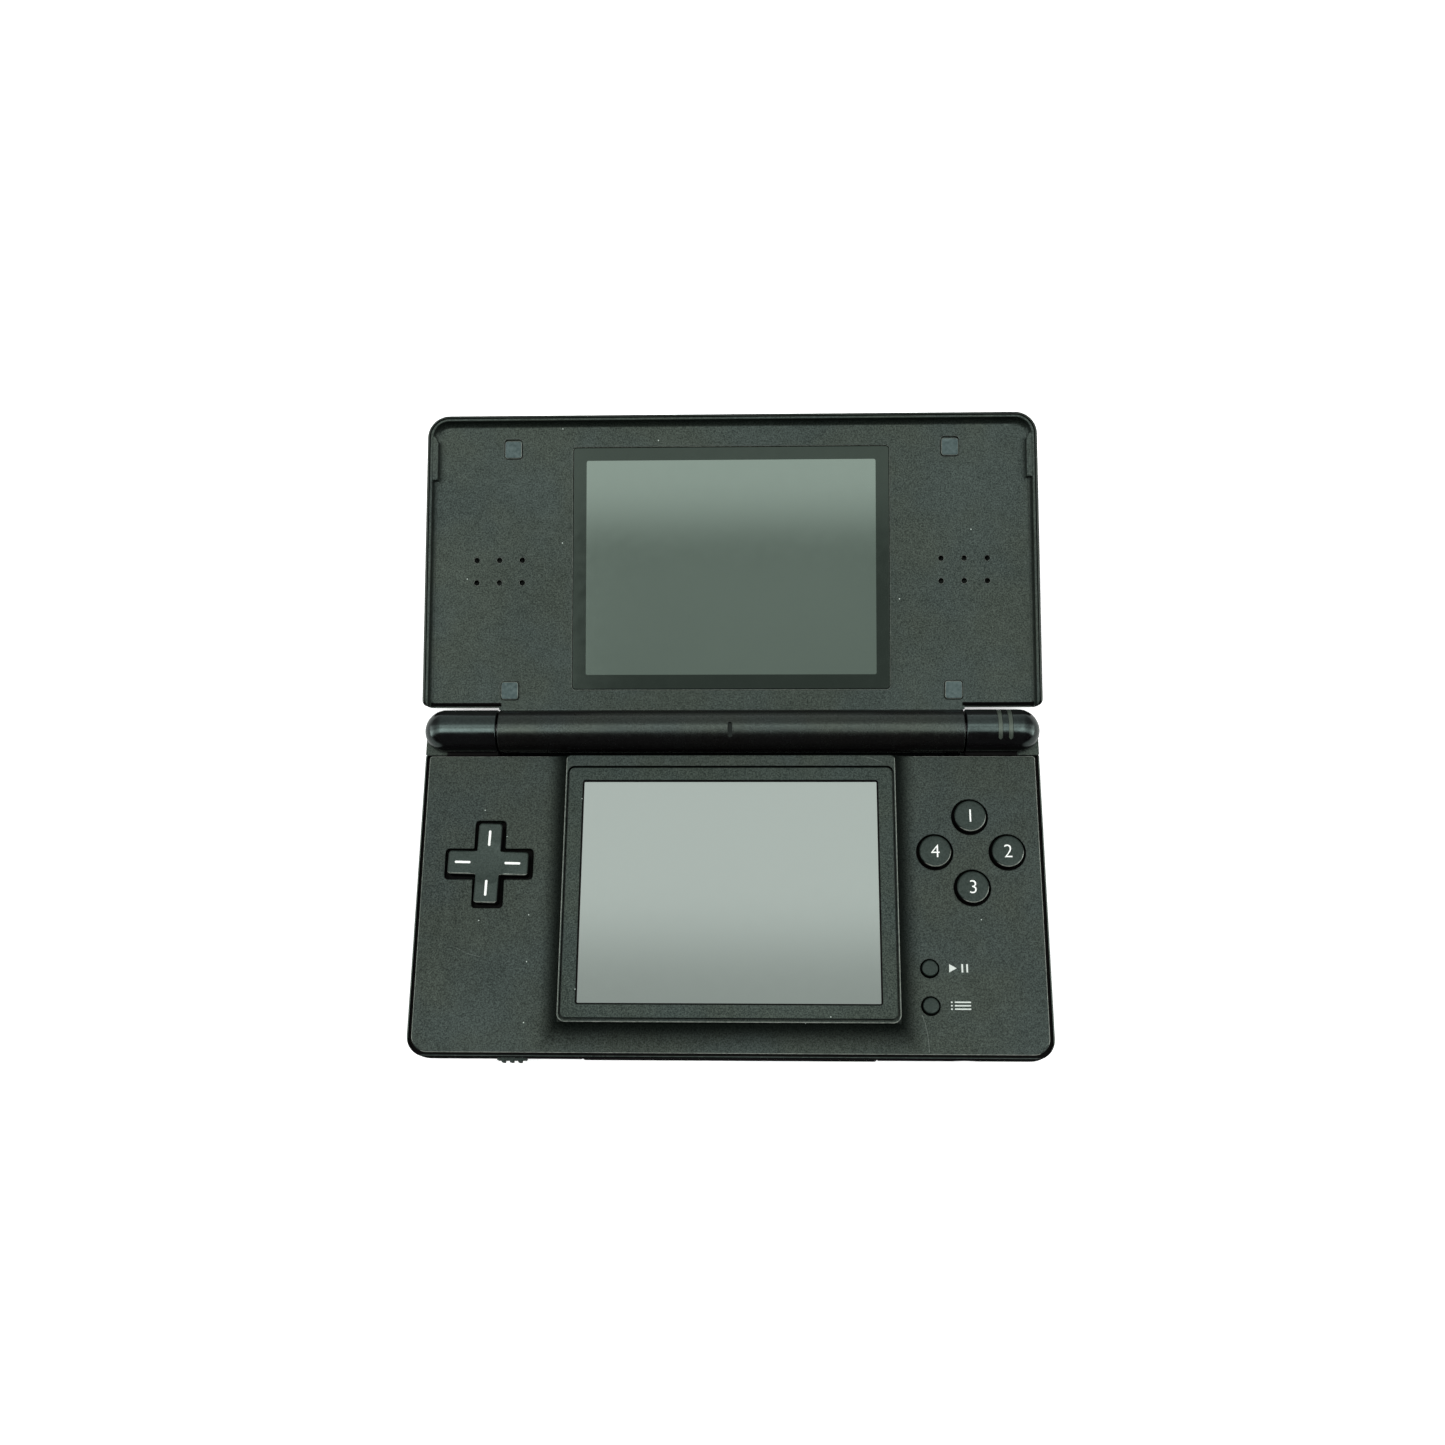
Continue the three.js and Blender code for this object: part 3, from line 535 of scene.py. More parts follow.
LENS_MAT = plastic("lens_black", (0.003, 0.005, 0.004), (0.004, 0.006, 0.005), 0.1, 0.02,
                   700.0, 0.0000003, 0.335, tint=(0.8, 1.0, 0.86), patches=0.7)
DISPLAY_MAT = plastic("upper_display", (0.008, 0.018, 0.011), (0.011, 0.022, 0.014), 0.06, 0.01,
                      600.0, 0.0000002, 0.52, tint=(0.84, 1.0, 0.9), patches=0.8, ior=2.0)
TOUCH = plastic("lower_display", (0.006, 0.014, 0.01), (0.008, 0.017, 0.012), 0.07, 0.01,
                600.0, 0.0000003, 0.56, tint=(0.92, 1.0, 0.955), patches=0.8, ior=2.0)
WINDOW = plastic("window_smoke", (0.03, 0.036, 0.03), (0.045, 0.055, 0.045), 0.34, 0.04,
                 1800.0, 0.000002, 0.5, tint=GREEN)
INNER = plastic("inner_moulded", (0.006, 0.007, 0.007), (0.011, 0.012, 0.012), 0.6, 0.08,
                2500.0, 0.00001, 0.35)


def zinc_steel():
    material, tree, shader = new_material("zinc_steel")
    coord = object_coords(tree)
    shader.inputs["Metallic"].default_value = 1.0
    colour = mix_colour(tree, noise(tree, coord, 900.0), (0.42, 0.43, 0.44), (0.6, 0.6, 0.58))
    tree.links.new(colour, shader.inputs["Base Color"])
    tree.links.new(remap(tree, noise(tree, coord, 2500.0), 0.3, 0.7, 0.25, 0.45),
                   shader.inputs["Roughness"])
    bump(tree, shader, noise(tree, coord, 3000.0), 1.0, 0.000004)
    return material


STEEL_MAT = zinc_steel()
BOARD = plastic("board_green", (0.012, 0.06, 0.032), (0.02, 0.09, 0.05), 0.45, 0.1,
                1200.0, 0.00001, 0.5)
CELL = plastic("cell_wrap", (0.03, 0.034, 0.04), (0.05, 0.055, 0.06), 0.35, 0.08,
               1500.0, 0.000005, 0.5)
SILICONE = plastic("silicone_grey", (0.3, 0.31, 0.3), (0.4, 0.41, 0.4), 0.6, 0.08,
                   1500.0, 0.00001, 0.4)
PRINT = plastic("white_print", (0.74, 0.75, 0.73), (0.86, 0.87, 0.85), 0.5, 0.06,
                5000.0, 0.000004, 0.4, patches=0.5)
PRINT_DIM = plastic("grey_print", (0.42, 0.45, 0.43), (0.6, 0.63, 0.6), 0.5, 0.06,
                    5000.0, 0.000004, 0.4, patches=0.5)


# ------------------------------------------------------------------ base cover
base_cover = Build().slab(
    (-HALF_WIDTH, HALF_WIDTH, FRONT, REAR), 4.2, 12,
    [(0, 2.4), (0.12, 1.95), (0.42, 1.5), (0.9, 1.08), (1.6, 0.72), (2.5, 0.46), (3.5, 0.28),
     (4.8, 0.14), (6.2, 0.04), (7.6, 0)] + arc_levels(10.7, 0, 11.42, 0.22, 6)
    + [(11.45, 0.27), (11.43, 0.34), (11.3, 0.4), (10.6, 0.41), (10.6, 1.3)],
).made("base_cover_shell")
cuts = Build()  # the inside, the hinge step, and the shoulder buttons' bays
cuts.slab((-64.9, 64.9, -67.7, -6.4), 2.6, 8, [(1.3, 0), (12, 0)])
cuts.box(-45.6, 45.6, -7, 2.9, 1.3, 6.9)
cuts.box(-70, 70, -5.2, 6, 7.65, 14)
for side in (-1, 1):
    x0, x1 = sorted((side * 46.7, side * 70))
    cuts.box(x0, x1, -5.75, 6, 1.5, 7.7)
    cuts.box(side * 57 - 6, side * 57 + 6, -7, -5, 8.3, 10.2)
subtract(base_cover, cuts)
cuts = Build()  # the openings
cuts.box(-17.3, 17.3, 2, 6, 1.95, 6.25)  # card
cuts.box(27.2, 33.8, 2, 6, 2.8, 6.2)  # charger
cuts.box(-37.5, -35.2, 2, 6, 3.0, 5.6)  # strap
cuts.box(-33.4, -31.1, 2, 6, 3.0, 5.6)
cuts.turned([(2.5, 64), (2.5, 66.2), (2.75, 66.6), (2.75, 68)], "X", STYLUS_AXIS, 40)
cuts.box(64, 68, -24.3, -14.7, 4.4, 6.8)  # power slider
cuts.box(-30.9, 30.9, -71, -67, 2.0, 8.8)  # front slot
cuts.box(-48.6, -35.6, -71, -67, 4.6, 7.0)  # volume slider
cuts.turned([(2.9, -71), (2.9, -67)], "Y", (49, 0, 5.8), 40)  # headphones
cuts.slab((-62.5, -33.5, -60.5, -12.5), 2, 6,  # battery bay
           [(-1, -0.15), (0.15, 0), (2, 0)])
for x, y in SCREWS:
    cuts.turned([(1.75, -1), (1.75, 0.0), (1.6, 0.15), (1.6, 2)], "Z", (x, y, 0), 24)
subtract(base_cover, cuts)
# Painted shade on the inner walls of the shell's lip, and a painted highlight on its up-facing top
# edge.
piece(base_cover, SHELL, "base", ["base_cover"], edge_material=PAINTED_BEAD_HIGHLIGHT,
      dark=lambda c, n: c.z > 10.3 and c.y > -68.92 and abs(c.x) < 66.12,
      edge=lambda c, n: c.z > 11.28 and n.z > 0.6)

# ------------------------------------------------------------------ base face plate
plate = Build().slab((-64.7, 64.7, -67.5, -6.6), 2.4, 8,
                     [(FACE_UNDER, 0), (11.5, 0)]).made("plate_body")
lip_slab = Build().slab(
    (-65.4, 65.4, -68.44, -5.4), (3.4, 3.4, 0.6, 0.6), 12,
    [(11.3, 0.0)] + arc_levels(11.6, 0, FACE_Z, 0.2, 5),
).made("plate_lip")
plateau = Build().slab(
    PLATEAU, (1.7, 1.7, 1.0, 1.0), 10,
    [(11.6, -FLARE - 0.1)] + arc_levels(FACE_Z - 0.02, -FLARE, 13.15, 0, 14, "foot")
    + arc_levels(13.25, 0, PLATEAU_Z, 0.25, 5),
).made("plateau")
subtract(plateau, Build().box(-60, 60, -5.45, 3, 10, 16))
key_holes = Build()
key_holes.stack(lambda i: cross(DPAD, 9.38, 3.28, 0.75, 0.35, -i), lip(FACE_Z, 0.16, 9))
for centre in ACTIONS.values():
    key_holes.stack(lambda i: circle(centre, ACTION_HOLE_R - i), lip(FACE_Z, 0.14, 9))
for y in OPTION_Y.values():
    key_holes.stack(lambda i: circle((OPTION_X, y), OPTION_HOLE_R - i, 36), lip(FACE_Z, 0.12, 9))
pocket = Build()
pocket.slab(BEZEL, 1.35, 8, lip(PLATEAU_Z, 0.14, 12.3, 0.02))
pocket.box(-33, 33, -60.3, -9.8, 9, 12.6)
under = Build()
under.turned([(11.4, 9), (11.4, 10.9)], "Z", (*DPAD, 0), 48)
for target, cutters in ((plate, (key_holes, under, pocket)), (lip_slab, (key_holes, pocket)),
                        (plateau, (pocket, key_holes))):
    for cutter in cutters:
        subtract(target, cutter)
posts = Build()
for x, y in SCREWS:
    posts.turned([(0, 5.0), (0.85, 5.0), (0.85, 1.6), (2.1, 1.6), (2.1, 10.5), (0, 10.5)],
                 "Z", (x, y, 0), 24)
base_face = joined("base_face_plate", [plate, lip_slab, plateau, posts.made("posts")])
# Painted shade on the plate's undersides and hole walls; painted highlight on the plateau's outward
# top edge and the plate's outer rims.
piece(base_face, FACE_BASE, "base", ["base_face"],
      dark=lambda c, n: c.z < 11.6 or (abs(n.z) < 0.2 and abs(c.y) < 67),
      edge=lambda c, n: 0.2 < n.z < 0.9 and (
          (c.z > 13.24 and n.x * c.x + n.y * (c.y + 34) > 0 and c.y < -6.2)
          or (c.z < FACE_Z and (c.y < -68.1 or c.y > -5.7 or abs(c.x) > 65.0))))

bezel = Build().slab(shrunk(BEZEL, 0.3), 1.1, 8,
                     [(12.36, 0)] + arc_levels(13.36, 0, PLATEAU_Z, 0.14, 4)).made("bezel_insert")
cuts = Build()
cuts.slab((-32.7, 32.7, -60.0, -10.1), 0.4, 4, [(12, 0), (13.12, 0)])
cuts.slab(SCREEN, 0.55, 6, lip(PLATEAU_Z, 0.1, 12.8))
subtract(bezel, cuts)
# Painted shade on the bezel's walls and low faces.
piece(bezel, BEZEL_MAT, "base", ["screen_bezel"],
      dark=lambda c, n: abs(n.z) < 0.3 or c.z < 13.1)

# A thin dark ring on the panel round the opening: painted shade of the bezel's edge.
border = Build().stack(lambda i: rounded(SCREEN, 0.55, i - 0.4, 6),
                       [(13.065, 0), (13.085, 0)]).made("panel_border")
subtract(border, Build().stack(lambda i: rounded(SCREEN, 0.55, i + 0.32, 6), [(13, 0), (13.2, 0)]))
piece(border, PAINTED_SHADE, "base", ())


def scuff(build, points, width, z):
    """A hair-thin ribbon through the points, lying at height z."""
    for (x0, y0), (x1, y1) in zip(points, points[1:]):
        along = Vector((x1 - x0, y1 - y0)).normalized() * width / 2
        side = Vector((-along.y, along.x))
        ring = [(x0 + side.x, y0 + side.y), (x1 + side.x, y1 + side.y),
                (x1 - side.x, y1 - side.y), (x0 - side.x, y0 - side.y)]
        build.loft([[(px, py, pz) for px, py in ring] for pz in (z, z + 0.012)])


scuffs = Build()
scuff(scuffs, [(39.6, -60.4), (40.2, -62.3), (40.6, -64.3), (40.8, -66.4), (40.85, -68.0)],
      0.07, FACE_Z - 0.002)
scuff(scuffs, [(-57.2, -47.0), (-54.8, -48.2), (-52.0, -48.9)], 0.05, FACE_Z - 0.002)
scuff(scuffs, [(28.2, -5.9), (30.4, -6.4), (32.6, -7.3)], 0.06, PLATEAU_Z - 0.002)
piece(scuffs.made("face_scuffs"), SCRATCH, "base", ())

# ------------------------------------------------------------------ hinge knuckles
def window_outline(x, half, deg0, deg1, r, steps=24):
    """Outline of a strip round the barrel with a rounded low end.

    Angles run from straight up, and positive ones lean towards -Y.
    """
    left, right = [], []
    for i in range(steps + 1):
        deg = deg0 + (deg1 - deg0) * i / steps
        to_end = math.radians(deg1 - deg) * BARREL_R
        width = half
        if to_end <= half:
            width = math.sqrt(max(half * half - (half - to_end) ** 2, 0.0))
        width = max(width, 0.03)
        a = math.radians(deg)
        left.append((x - width, -r * math.sin(a), r * math.cos(a)))
        right.append((x + width, -r * math.sin(a), r * math.cos(a)))
    return left + right[::-1]


def window_solid(build, x, half, deg0, deg1, r_in, r_out):
    """Adds the solid between that outline at the radii r_in and r_out."""
    inner = window_outline(x, half, deg0, deg1, r_in)
    outer = window_outline(x, half, deg0, deg1, r_out)
    base = len(build.verts)
    count = len(inner)
    build.verts.extend(inner + outer)
    for i in range(count):
        j = (i + 1) % count
        build.faces.append((base + i, base + count + i, base + count + j, base + j))
    half_count = count // 2
    for i in range(half_count - 1):
        a, b = i, i + 1
        c, d = count - 2 - i, count - 1 - i
        build.faces.append((base + a, base + b, base + c, base + d))
        build.faces.append((base + count + d, base + count + c, base + count + b, base + count + a))
    return build


def knuckle(side):
    """End barrel with its domed end, the foot it stands on, and its tab into the base."""
    ball = HALF_WIDTH - BARREL_R
    start = SEAM + 0.15
    profile = rounded_end(start, BARREL_R, 0.28)
    for i in range(17):
        t = math.pi / 2 * i / 16
        profile.append((BARREL_R * math.cos(t), ball + BARREL_R * math.sin(t)))
    tube = Build().turned(profile, "X", (0, 0, 0), 72)
    foot_levels = [(-4.75, 0.12), (-4.6, 0), (-1.0, 0), (-0.85, 0.12)]
    foot = Build().slab((start, 61.8, -5.25, 4.3), (0.3, 0.2, 0.2, 0.3), 4, foot_levels)
    foot.slab((61.6, HALF_WIDTH - 0.12, -5.25, 4.3), (0.2, 0.5, 4.3, 0.2), 12, foot_levels)
    tab = Build().box(51.5, 62.5, -9.5, -3, 8.4 - HINGE_Z, 10.1 - HINGE_Z)
    if side < 0:
        for build in (tube, foot, tab):
            build.mirrored()
    tube_obj = tube.made("tube", AT_HINGE)
    cuts = Build()
    if side > 0:
        cuts.turned([(3.0, 50), (3.0, 61)], "X", (0, 0, 0), 32)
        for x in WINDOWS:
            window_solid(cuts, x, 0.5, -77, 41, 3.6, 5.4)
    else:
        cuts.turned([(2.25, -57.5), (2.25, -50)], "X", (0, 0, 0), 32)
    subtract(tube_obj, cuts, AT_HINGE)
    return joined("knuckle_piece",
                  [tube_obj, foot.made("foot", AT_HINGE), tab.made("tab", AT_HINGE)])


for side, label in ((-1, "left"), (1, "right")):
    obj = knuckle(side)
    obj.name = f"hinge_knuckle_{label}"
    # Painted shadow on each foot's top under its barrel; the foot's outer corner takes the face
    # finish.
    piece(obj, KNUCKLE, "base", [f"knuckle_{label}"], edge_material=FACE,
          dark=lambda c, n: abs(c.x) < 61.7 and c.z < 11.9 and n.z > 0.5,
          edge=lambda c, n: c.z < 11.9 and n.z > 0.5)
for i, x in enumerate(WINDOWS):
    strip = window_solid(Build(), x, 0.43, -75.5, 40, 3.7, BARREL_R - 0.03)
    strip = strip.made(f"indicator_{i + 1}", AT_HINGE)
    piece(strip, WINDOW, "base", [f"light_window_{i + 1}"], 50)

# ------------------------------------------------------------------ keys
# Painted shade on key flanks and low faces.
def key_flank_shade(centre, normal):
    return abs(normal.z) < 0.3 or centre.z < 11.5


# Painted highlight on the cap rim that faces front right.
def cap_highlight(centre, normal):
    return 0.25 < normal.z < 0.93 and 0.45 * normal.x - 0.89 * normal.y > 0.3 and centre.z > 12.5


# Painted highlight on the pad's front-facing top edges.
def dpad_highlight(centre, normal):
    return normal.y < -0.35 and centre.z > 12.9


arm_levels = [(9.4, 0.0), (12.75, 0.0)] + arc_levels(12.95, 0, 13.3, 0.35, 5)
dpad = Build().stack(lambda i: cross(DPAD, 8.55, 2.5, 0.7, 0.25, -i), arm_levels).made("dpad_cross")
flange = Build().stack(lambda i: cross(DPAD, 9.5, 4.1, 0.8, 0.3, -i),
                       [(9.4, 0), (10.1, 0)]).made("flange")
DISH_R = 36.0  # the hollow across the top, lowest at z = 13
rows = []
for i in range(21):
    t = math.radians(9) * i / 20
    rows.append((DISH_R * math.sin(t), 13.0 + DISH_R - DISH_R * math.cos(t)))
rows.append((DISH_R * math.sin(t), 16))
subtract(dpad, Build().turned(rows, "Z", (*DPAD, 0), 96))
dpad = joined("dpad_cross", [dpad, flange])
# The pad sits slightly turned in its hole.
DPAD_TURN = (Matrix.Translation((DPAD[0] * MM, DPAD[1] * MM, 0))
             @ Matrix.Rotation(math.radians(-1.4), 4, "Z")
             @ Matrix.Translation((-DPAD[0] * MM, -DPAD[1] * MM, 0)))
dpad.data.transform(DPAD_TURN)
piece(dpad, KEY, "dpad", ["dpad"], 40, dark=key_flank_shade, edge=dpad_highlight)

marks = Build()
for dx, dy, w, h in ((0, 5.3, 0.25, 1.68), (0, -5.4, 0.25, 1.68),
                     (-5.35, 0, 1.68, 0.25), (5.25, 0, 1.68, 0.25)):
    rect = (DPAD[0] + dx - w, DPAD[0] + dx + w, DPAD[1] + dy - h, DPAD[1] + dy + h)
    marks.slab(rect, 0.24, 5, [(12.9, 0), (13.325, 0), (13.335, 0.03)])
marks_piece = marks.made("dpad_marks")
marks_piece.data.transform(DPAD_TURN)
piece(marks_piece, PRINT, "dpad", ())

for label, centre in ACTIONS.items():
    profile = [(0, 9.4), (4.4, 9.4), (4.4, 10.15), (ACTION_R, 10.15), (ACTION_R, 12.78)]
    profile += crown(ACTION_R, 12.78, 0.34, 0.32, 7)
    profile += [(2.4, 13.13), (1.6, 13.15), (0.8, 13.165), (0, 13.17)]
    button = Build().turned(profile, "Z", (*centre, 0), 64).made(f"button_{label}")
    piece(button, CAP, f"action_{label}", [f"action_{label}"], dark=key_flank_shade, edge=cap_highlight)
for label, y in OPTION_Y.items():
    profile = [(0, 9.5), (2.5, 9.5), (2.5, 10.15), (OPTION_R, 10.15), (OPTION_R, 12.35)]
    profile += crown(OPTION_R, 12.35, 0.28, 0.28, 6)
    profile += [(0.7, 12.66), (0, 12.68)]
    button = Build().turned(profile, "Z", (OPTION_X, y, 0), 40).made(f"button_{label}")
    piece(button, CAP, f"{label}_button", [f"{label}_button"], dark=key_flank_shade)


def numeral(text, centre, size, z, name, body):
    """A printed figure: one digit as a thin raised solid."""
    curve = bpy.data.curves.new(name, "FONT")
    curve.body = text
    curve.size = size
    curve.align_x = "CENTER"
    curve.align_y = "CENTER"
    curve.resolution_u = 6
    curve.offset = -0.045
    curve.extrude = 0.02
    holder = bpy.data.objects.new(name + "_curve", curve)
    bpy.context.scene.collection.objects.link(holder)
    graph = bpy.context.evaluated_depsgraph_get()
    mesh = bpy.data.meshes.new_from_object(holder.evaluated_get(graph))
    xs = [v.co.x for v in mesh.vertices]
    ys = [v.co.y for v in mesh.vertices]
    mid = Vector(((min(xs) + max(xs)) / 2, (min(ys) + max(ys)) / 2, 0))
    for v in mesh.vertices:
        v.co = (v.co - mid + Vector((centre[0], centre[1], z))) * MM
    bpy.data.objects.remove(holder)
    bpy.data.curves.remove(curve)
    obj = bpy.data.objects.new(name, mesh)
    bpy.context.scene.collection.objects.link(obj)
    return piece(obj, PRINT, body, ())


for figure, label in (("1", "top"), ("2", "right"), ("3", "bottom"), ("4", "left")):
    numeral(figure, ACTIONS[label], 4.05, 13.165, f"figure_{label}", f"action_{label}")

# Pictograms beside the two small round buttons: play and pause, and a short list.
ICON_Z = (11.75, 11.82)
icons = Build()
x, y = OPTION_X + 4.6, OPTION_Y["start"] + 0.1
icons.loft([[(x - 0.6, y - 0.85, z), (x + 0.95, y, z), (x - 0.6, y + 0.85, z)] for z in ICON_Z])
for dx in (2.1, 3.1):
    icons.box(x + dx - 0.17, x + dx + 0.17, y - 0.85, y + 0.85, *ICON_Z)
x, y = OPTION_X + 5.2, OPTION_Y["select"] + 0.1
for dy in (-0.7, 0, 0.7):
    icons.box(x - 1.1, x - 0.75, y + dy - 0.14, y + dy + 0.14, *ICON_Z)
    icons.box(x - 0.3, x + 3.0, y + dy - 0.14, y + dy + 0.14, *ICON_Z)
piece(icons.made("button_icons"), PRINT_DIM, "base", ())

# ------------------------------------------------------------------ rear-corner buttons
for side, label in ((-1, "left"), (1, "right")):
    build = Build().slab(
        (47.1, HALF_WIDTH, -5.2, REAR), (0.5, 0.6, 4.2, 0.5), 12,
        [(1.75, 0.42), (2.1, 0.27), (2.6, 0.15), (3.3, 0.04), (4.2, 0)]
        + arc_levels(6.9, 0, 7.4, 0.45, 5),
    )
    bore = Build().turned([(0.72, 1), (0.72, 8)], "Z", (48.7, -2.2, 0), 20)
    if side < 0:
        build.mirrored()
        bore.mirrored()
    shoulder = subtract(build.made(f"shoulder_key_{label}"), bore)
    piece(shoulder, SHELL, f"shoulder_{label}", [f"shoulder_{label}"])

# ------------------------------------------------------------------ sliders, stylus, slot cover
volume = Build()
volume.slab((-48.3, -42.1, -69.6, -67.3), 0.25, 3, [(4.8, 0.1), (4.9, 0), (6.7, 0), (6.8, 0.1)])
volume.box(-49.8, -40.6, -67.5, -66.3, 4.2, 7.1)
for dx in (-1.75, 0, 1.75):
    volume.slab((-45.2 + dx - 0.38, -45.2 + dx + 0.38, -70.05, -69.3), 0.2, 3,
                [(4.9, 0.08), (5.0, 0), (6.6, 0), (6.7, 0.08)])
piece(volume.made("volume_thumb"), KEY, "volume_slider", ["volume_slider"])
power = Build()
power.slab((64.2, 66.9, -23.9, -18.2), 0.4, 4, [(4.6, 0.15), (4.75, 0), (6.45, 0), (6.6, 0.15)])
power.box(63.4, 64.65, -27, -15.2, 3.9, 7.1)
for k in range(5):
    yy = -22.9 + k * 0.92
    power.slab((66.5, 67.15, yy - 0.22, yy + 0.22), 0.15, 3,
               [(4.75, 0.05), (4.85, 0), (6.35, 0), (6.45, 0.05)])
piece(power.made("power_thumb"), KEY, "power_slider", ["power_slider"])

stylus_profile = [(0, -20.4), (0.45, -20.32), (0.7, -20.05), (0.82, -19.6), (1.25, -14.5),
                  (2.05, -12.6), (2.15, -12.2), (2.15, 63.6), (2.3, 63.9), (2.3, 66.5),
                  (2.2, 66.85), (1.95, 67.05), (1.6, 67.1), (0, 67.1)]
stylus = Build().turned(stylus_profile, "X", STYLUS_AXIS, 40).made("stylus_pen")
subtract(stylus, Build().box(66.75, 68, -36.2, -32.8, 4.15, 4.55))
piece(stylus, SHELL, "stylus", ["stylus"])

# Drawn lying flat, then stood up in the front edge.
cover_build = Build().slab((-30.6, 30.6, 2.2, 8.6), 0.55, 6,
                           [(0, 0), (1.7, 0)] + arc_levels(1.7, 0, 1.95, 0.25, 4)[1:])
cover_build.verts = [(vx, -67.2 - vz, vy) for vx, vy, vz in cover_build.verts]
slot_cover = cover_build.made("slot_plug")
tray = Build().box(-28.4, 28.4, -68.2, -48, 2.6, 7.9).made("tray")
subtract(tray, Build().box(-26.8, 26.8, -66.6, -47, 4.0, 9))
slot_cover = joined("slot_plug", [slot_cover, tray])
piece(slot_cover, SHELL, "slot_cover", ["slot_cover"])

# ------------------------------------------------------------------ lid cover
def widened(obj):
    """Draws the lid's outline out a little: most at the hinge end, and a touch at the far edge."""
    back = LID.inverted()
    for vertex in obj.data.vertices:
        spot = back @ (vertex.co / MM)
        out = 0.3 + 0.65 * (1 - (spot.y - LID_NEAR) / (LID_FAR - LID_NEAR))
        if abs(spot.x) > 62:
            spot.x += math.copysign(out, spot.x)
        if spot.y > 64.0:
            spot.y += 0.33
        vertex.co = (LID @ spot) * MM
    return obj


lid_cover = Build().slab(
    (-HALF_WIDTH, HALF_WIDTH, LID_NEAR, LID_FAR), (1.5, 1.5, 4.85, 4.85), 14,
    [(LID_BACK, 3.4), (LID_BACK + 0.06, 2.9), (LID_BACK + 0.22, 2.35), (LID_BACK + 0.52, 1.75),
     (LID_BACK + 1.0, 1.15), (LID_BACK + 1.7, 0.62), (LID_BACK + 2.6, 0.25), (LID_BACK + 3.6, 0.06),
     (LID_BACK + 4.6, 0)] + arc_levels(-0.7, 0, 0.4, 0.5, 6),
).made("lid_cover_shell", LID)
cuts = Build()
cuts.slab((-64.9, 64.9, LID_NEAR + 1.5, LID_FAR - 1.6), 2.8, 8,
          [(LID_BACK + 1.4, 1), (LID_BACK + 2.4, 0), (2, 0)])
cuts.slab((-65.95, 65.95, LID_NEAR - 3, 68.85), (1, 1, 4.3, 4.3), 12, [(-1.7, 0), (2, 0)])
cuts.box(-65.9, 65.9, LID_NEAR - 1, 8, -2.55, 1.8)
cuts.box(-SEAM, SEAM, LID_NEAR - 1.1, 7.3, -4.8, 1.9)
subtract(lid_cover, cuts, LID)
widened(lid_cover)
piece(lid_cover, SHELL, "lid", ["lid_cover"])

# ------------------------------------------------------------------ lid face
rim = Build().slab(
    (-65.75, 65.75, LID_NEAR + 0.15, 68.65), (1.2, 1.2, 4.15, 4.15), 12,
    [(-1.6, 0)] + arc_levels(0.25, 0, LID_RIM, 0.25, 4),
).made("rim", LID)
face_body = Build().slab((-64.8, 64.8, LID_NEAR + 1.6, 67.7), 2.7, 6, [(-2.8, 0), (-1.5, 0)])
face_body.box(-65.7, 65.7, LID_NEAR + 0.15, 7.9, -2.5, -1.5)
face_body = face_body.made("face_body", LID)
recess = Build().slab(
    (-65.1, 65.1, LID_NEAR - 5, 68.0), 3.5, 12,
    arc_levels(LID_FACE, 1.2, 0.3, 0.0, 9, "foot") + [(0.42, -0.05), (0.55, -0.2), (2, -0.2)],
)
subtract(rim, recess, LID)
ledges = Build()
for side in (-1, 1):
    x0, x1 = sorted((side * 63.95, side * 65.4))
    ledges.stack(
        lambda i: outline([
            (x0 + i, 55.3 + i, 0.3), (x1 - i, 55.3 + i, 0.3),
            (x1 - i, 65.4 - i if side > 0 else 63.9 - i, 0.3),
            (x0 + i, 63.9 - i if side > 0 else 65.4 - i, 0.3),
        ], 4),
        [(-1.6, 0)] + arc_levels(0.15, 0, 0.35, 0.2, 4))
neck = Build().box(-SEAM + 0.2, SEAM - 0.2, 0, 4.85, -BARREL_R, LID_FACE)
neck.box(-SEAM - 0.4, SEAM + 0.4, 4.85, 5.56, -BARREL_R, LID_FACE)
neck = neck.made("neck", LID)
barrel_profile = rounded_end(-(SEAM - 0.2), BARREL_R, 0.25)
barrel_profile += [(r, -a) for r, a in reversed(barrel_profile)]
barrel = Build().turned(barrel_profile, "X", (0, 0, 0), 96).made("barrel", LID)
near_cut = Build()
for x0, x1 in ((-67.5, -SEAM + 0.1), (SEAM - 0.1, 67.5)):
    section = [(5.2, -2.5), (5.2, -1.0), (6.6, -1.0), (6.35, LID_FACE), (6.1, -1.52),
               (5.8, -1.75), (5.55, -2.3)]
    near_cut.loft([[(x, v, w) for v, w in section] for x in (x0, x1)])
subtract(rim, near_cut, LID)
subtract(face_body, near_cut, LID)
holes = Build()
holes.slab(LENS, 0.75, 8, lip(LID_FACE, 0.12, -2.3))
for x, y in PADS.values():
    holes.slab((x - 2.02, x + 2.02, y - 2.07, y + 2.07), 0.75, 5, lip(LID_FACE, 0.1, -2.1))
for side in (-1, 1):
    for column in (-1, 0, 1):
        for row in (-1, 1):
            spot = (side * 50.9 + column * 5.02, 35.3 + row * 2.49)
            holes.stack(lambda i: circle(spot, 0.6 - i, 24), lip(LID_FACE, 0.1, -4))
window_cut = Build().slab((-32.4, 32.4, 11.7, 60.5), 0.5, 4, [(-4, 0), (2, 0)])
for target in (face_body, rim):
    subtract(target, holes, LID)
    subtract(target, window_cut, LID)
subtract(neck, holes, LID)
cuts = Build()
cuts.turned([(2.0, -60), (2.0, -44)], "X", (0, 0, 0), 32)
cuts.turned([(2.2, 44), (2.2, 60)], "X", (0, 0, 0), 32)
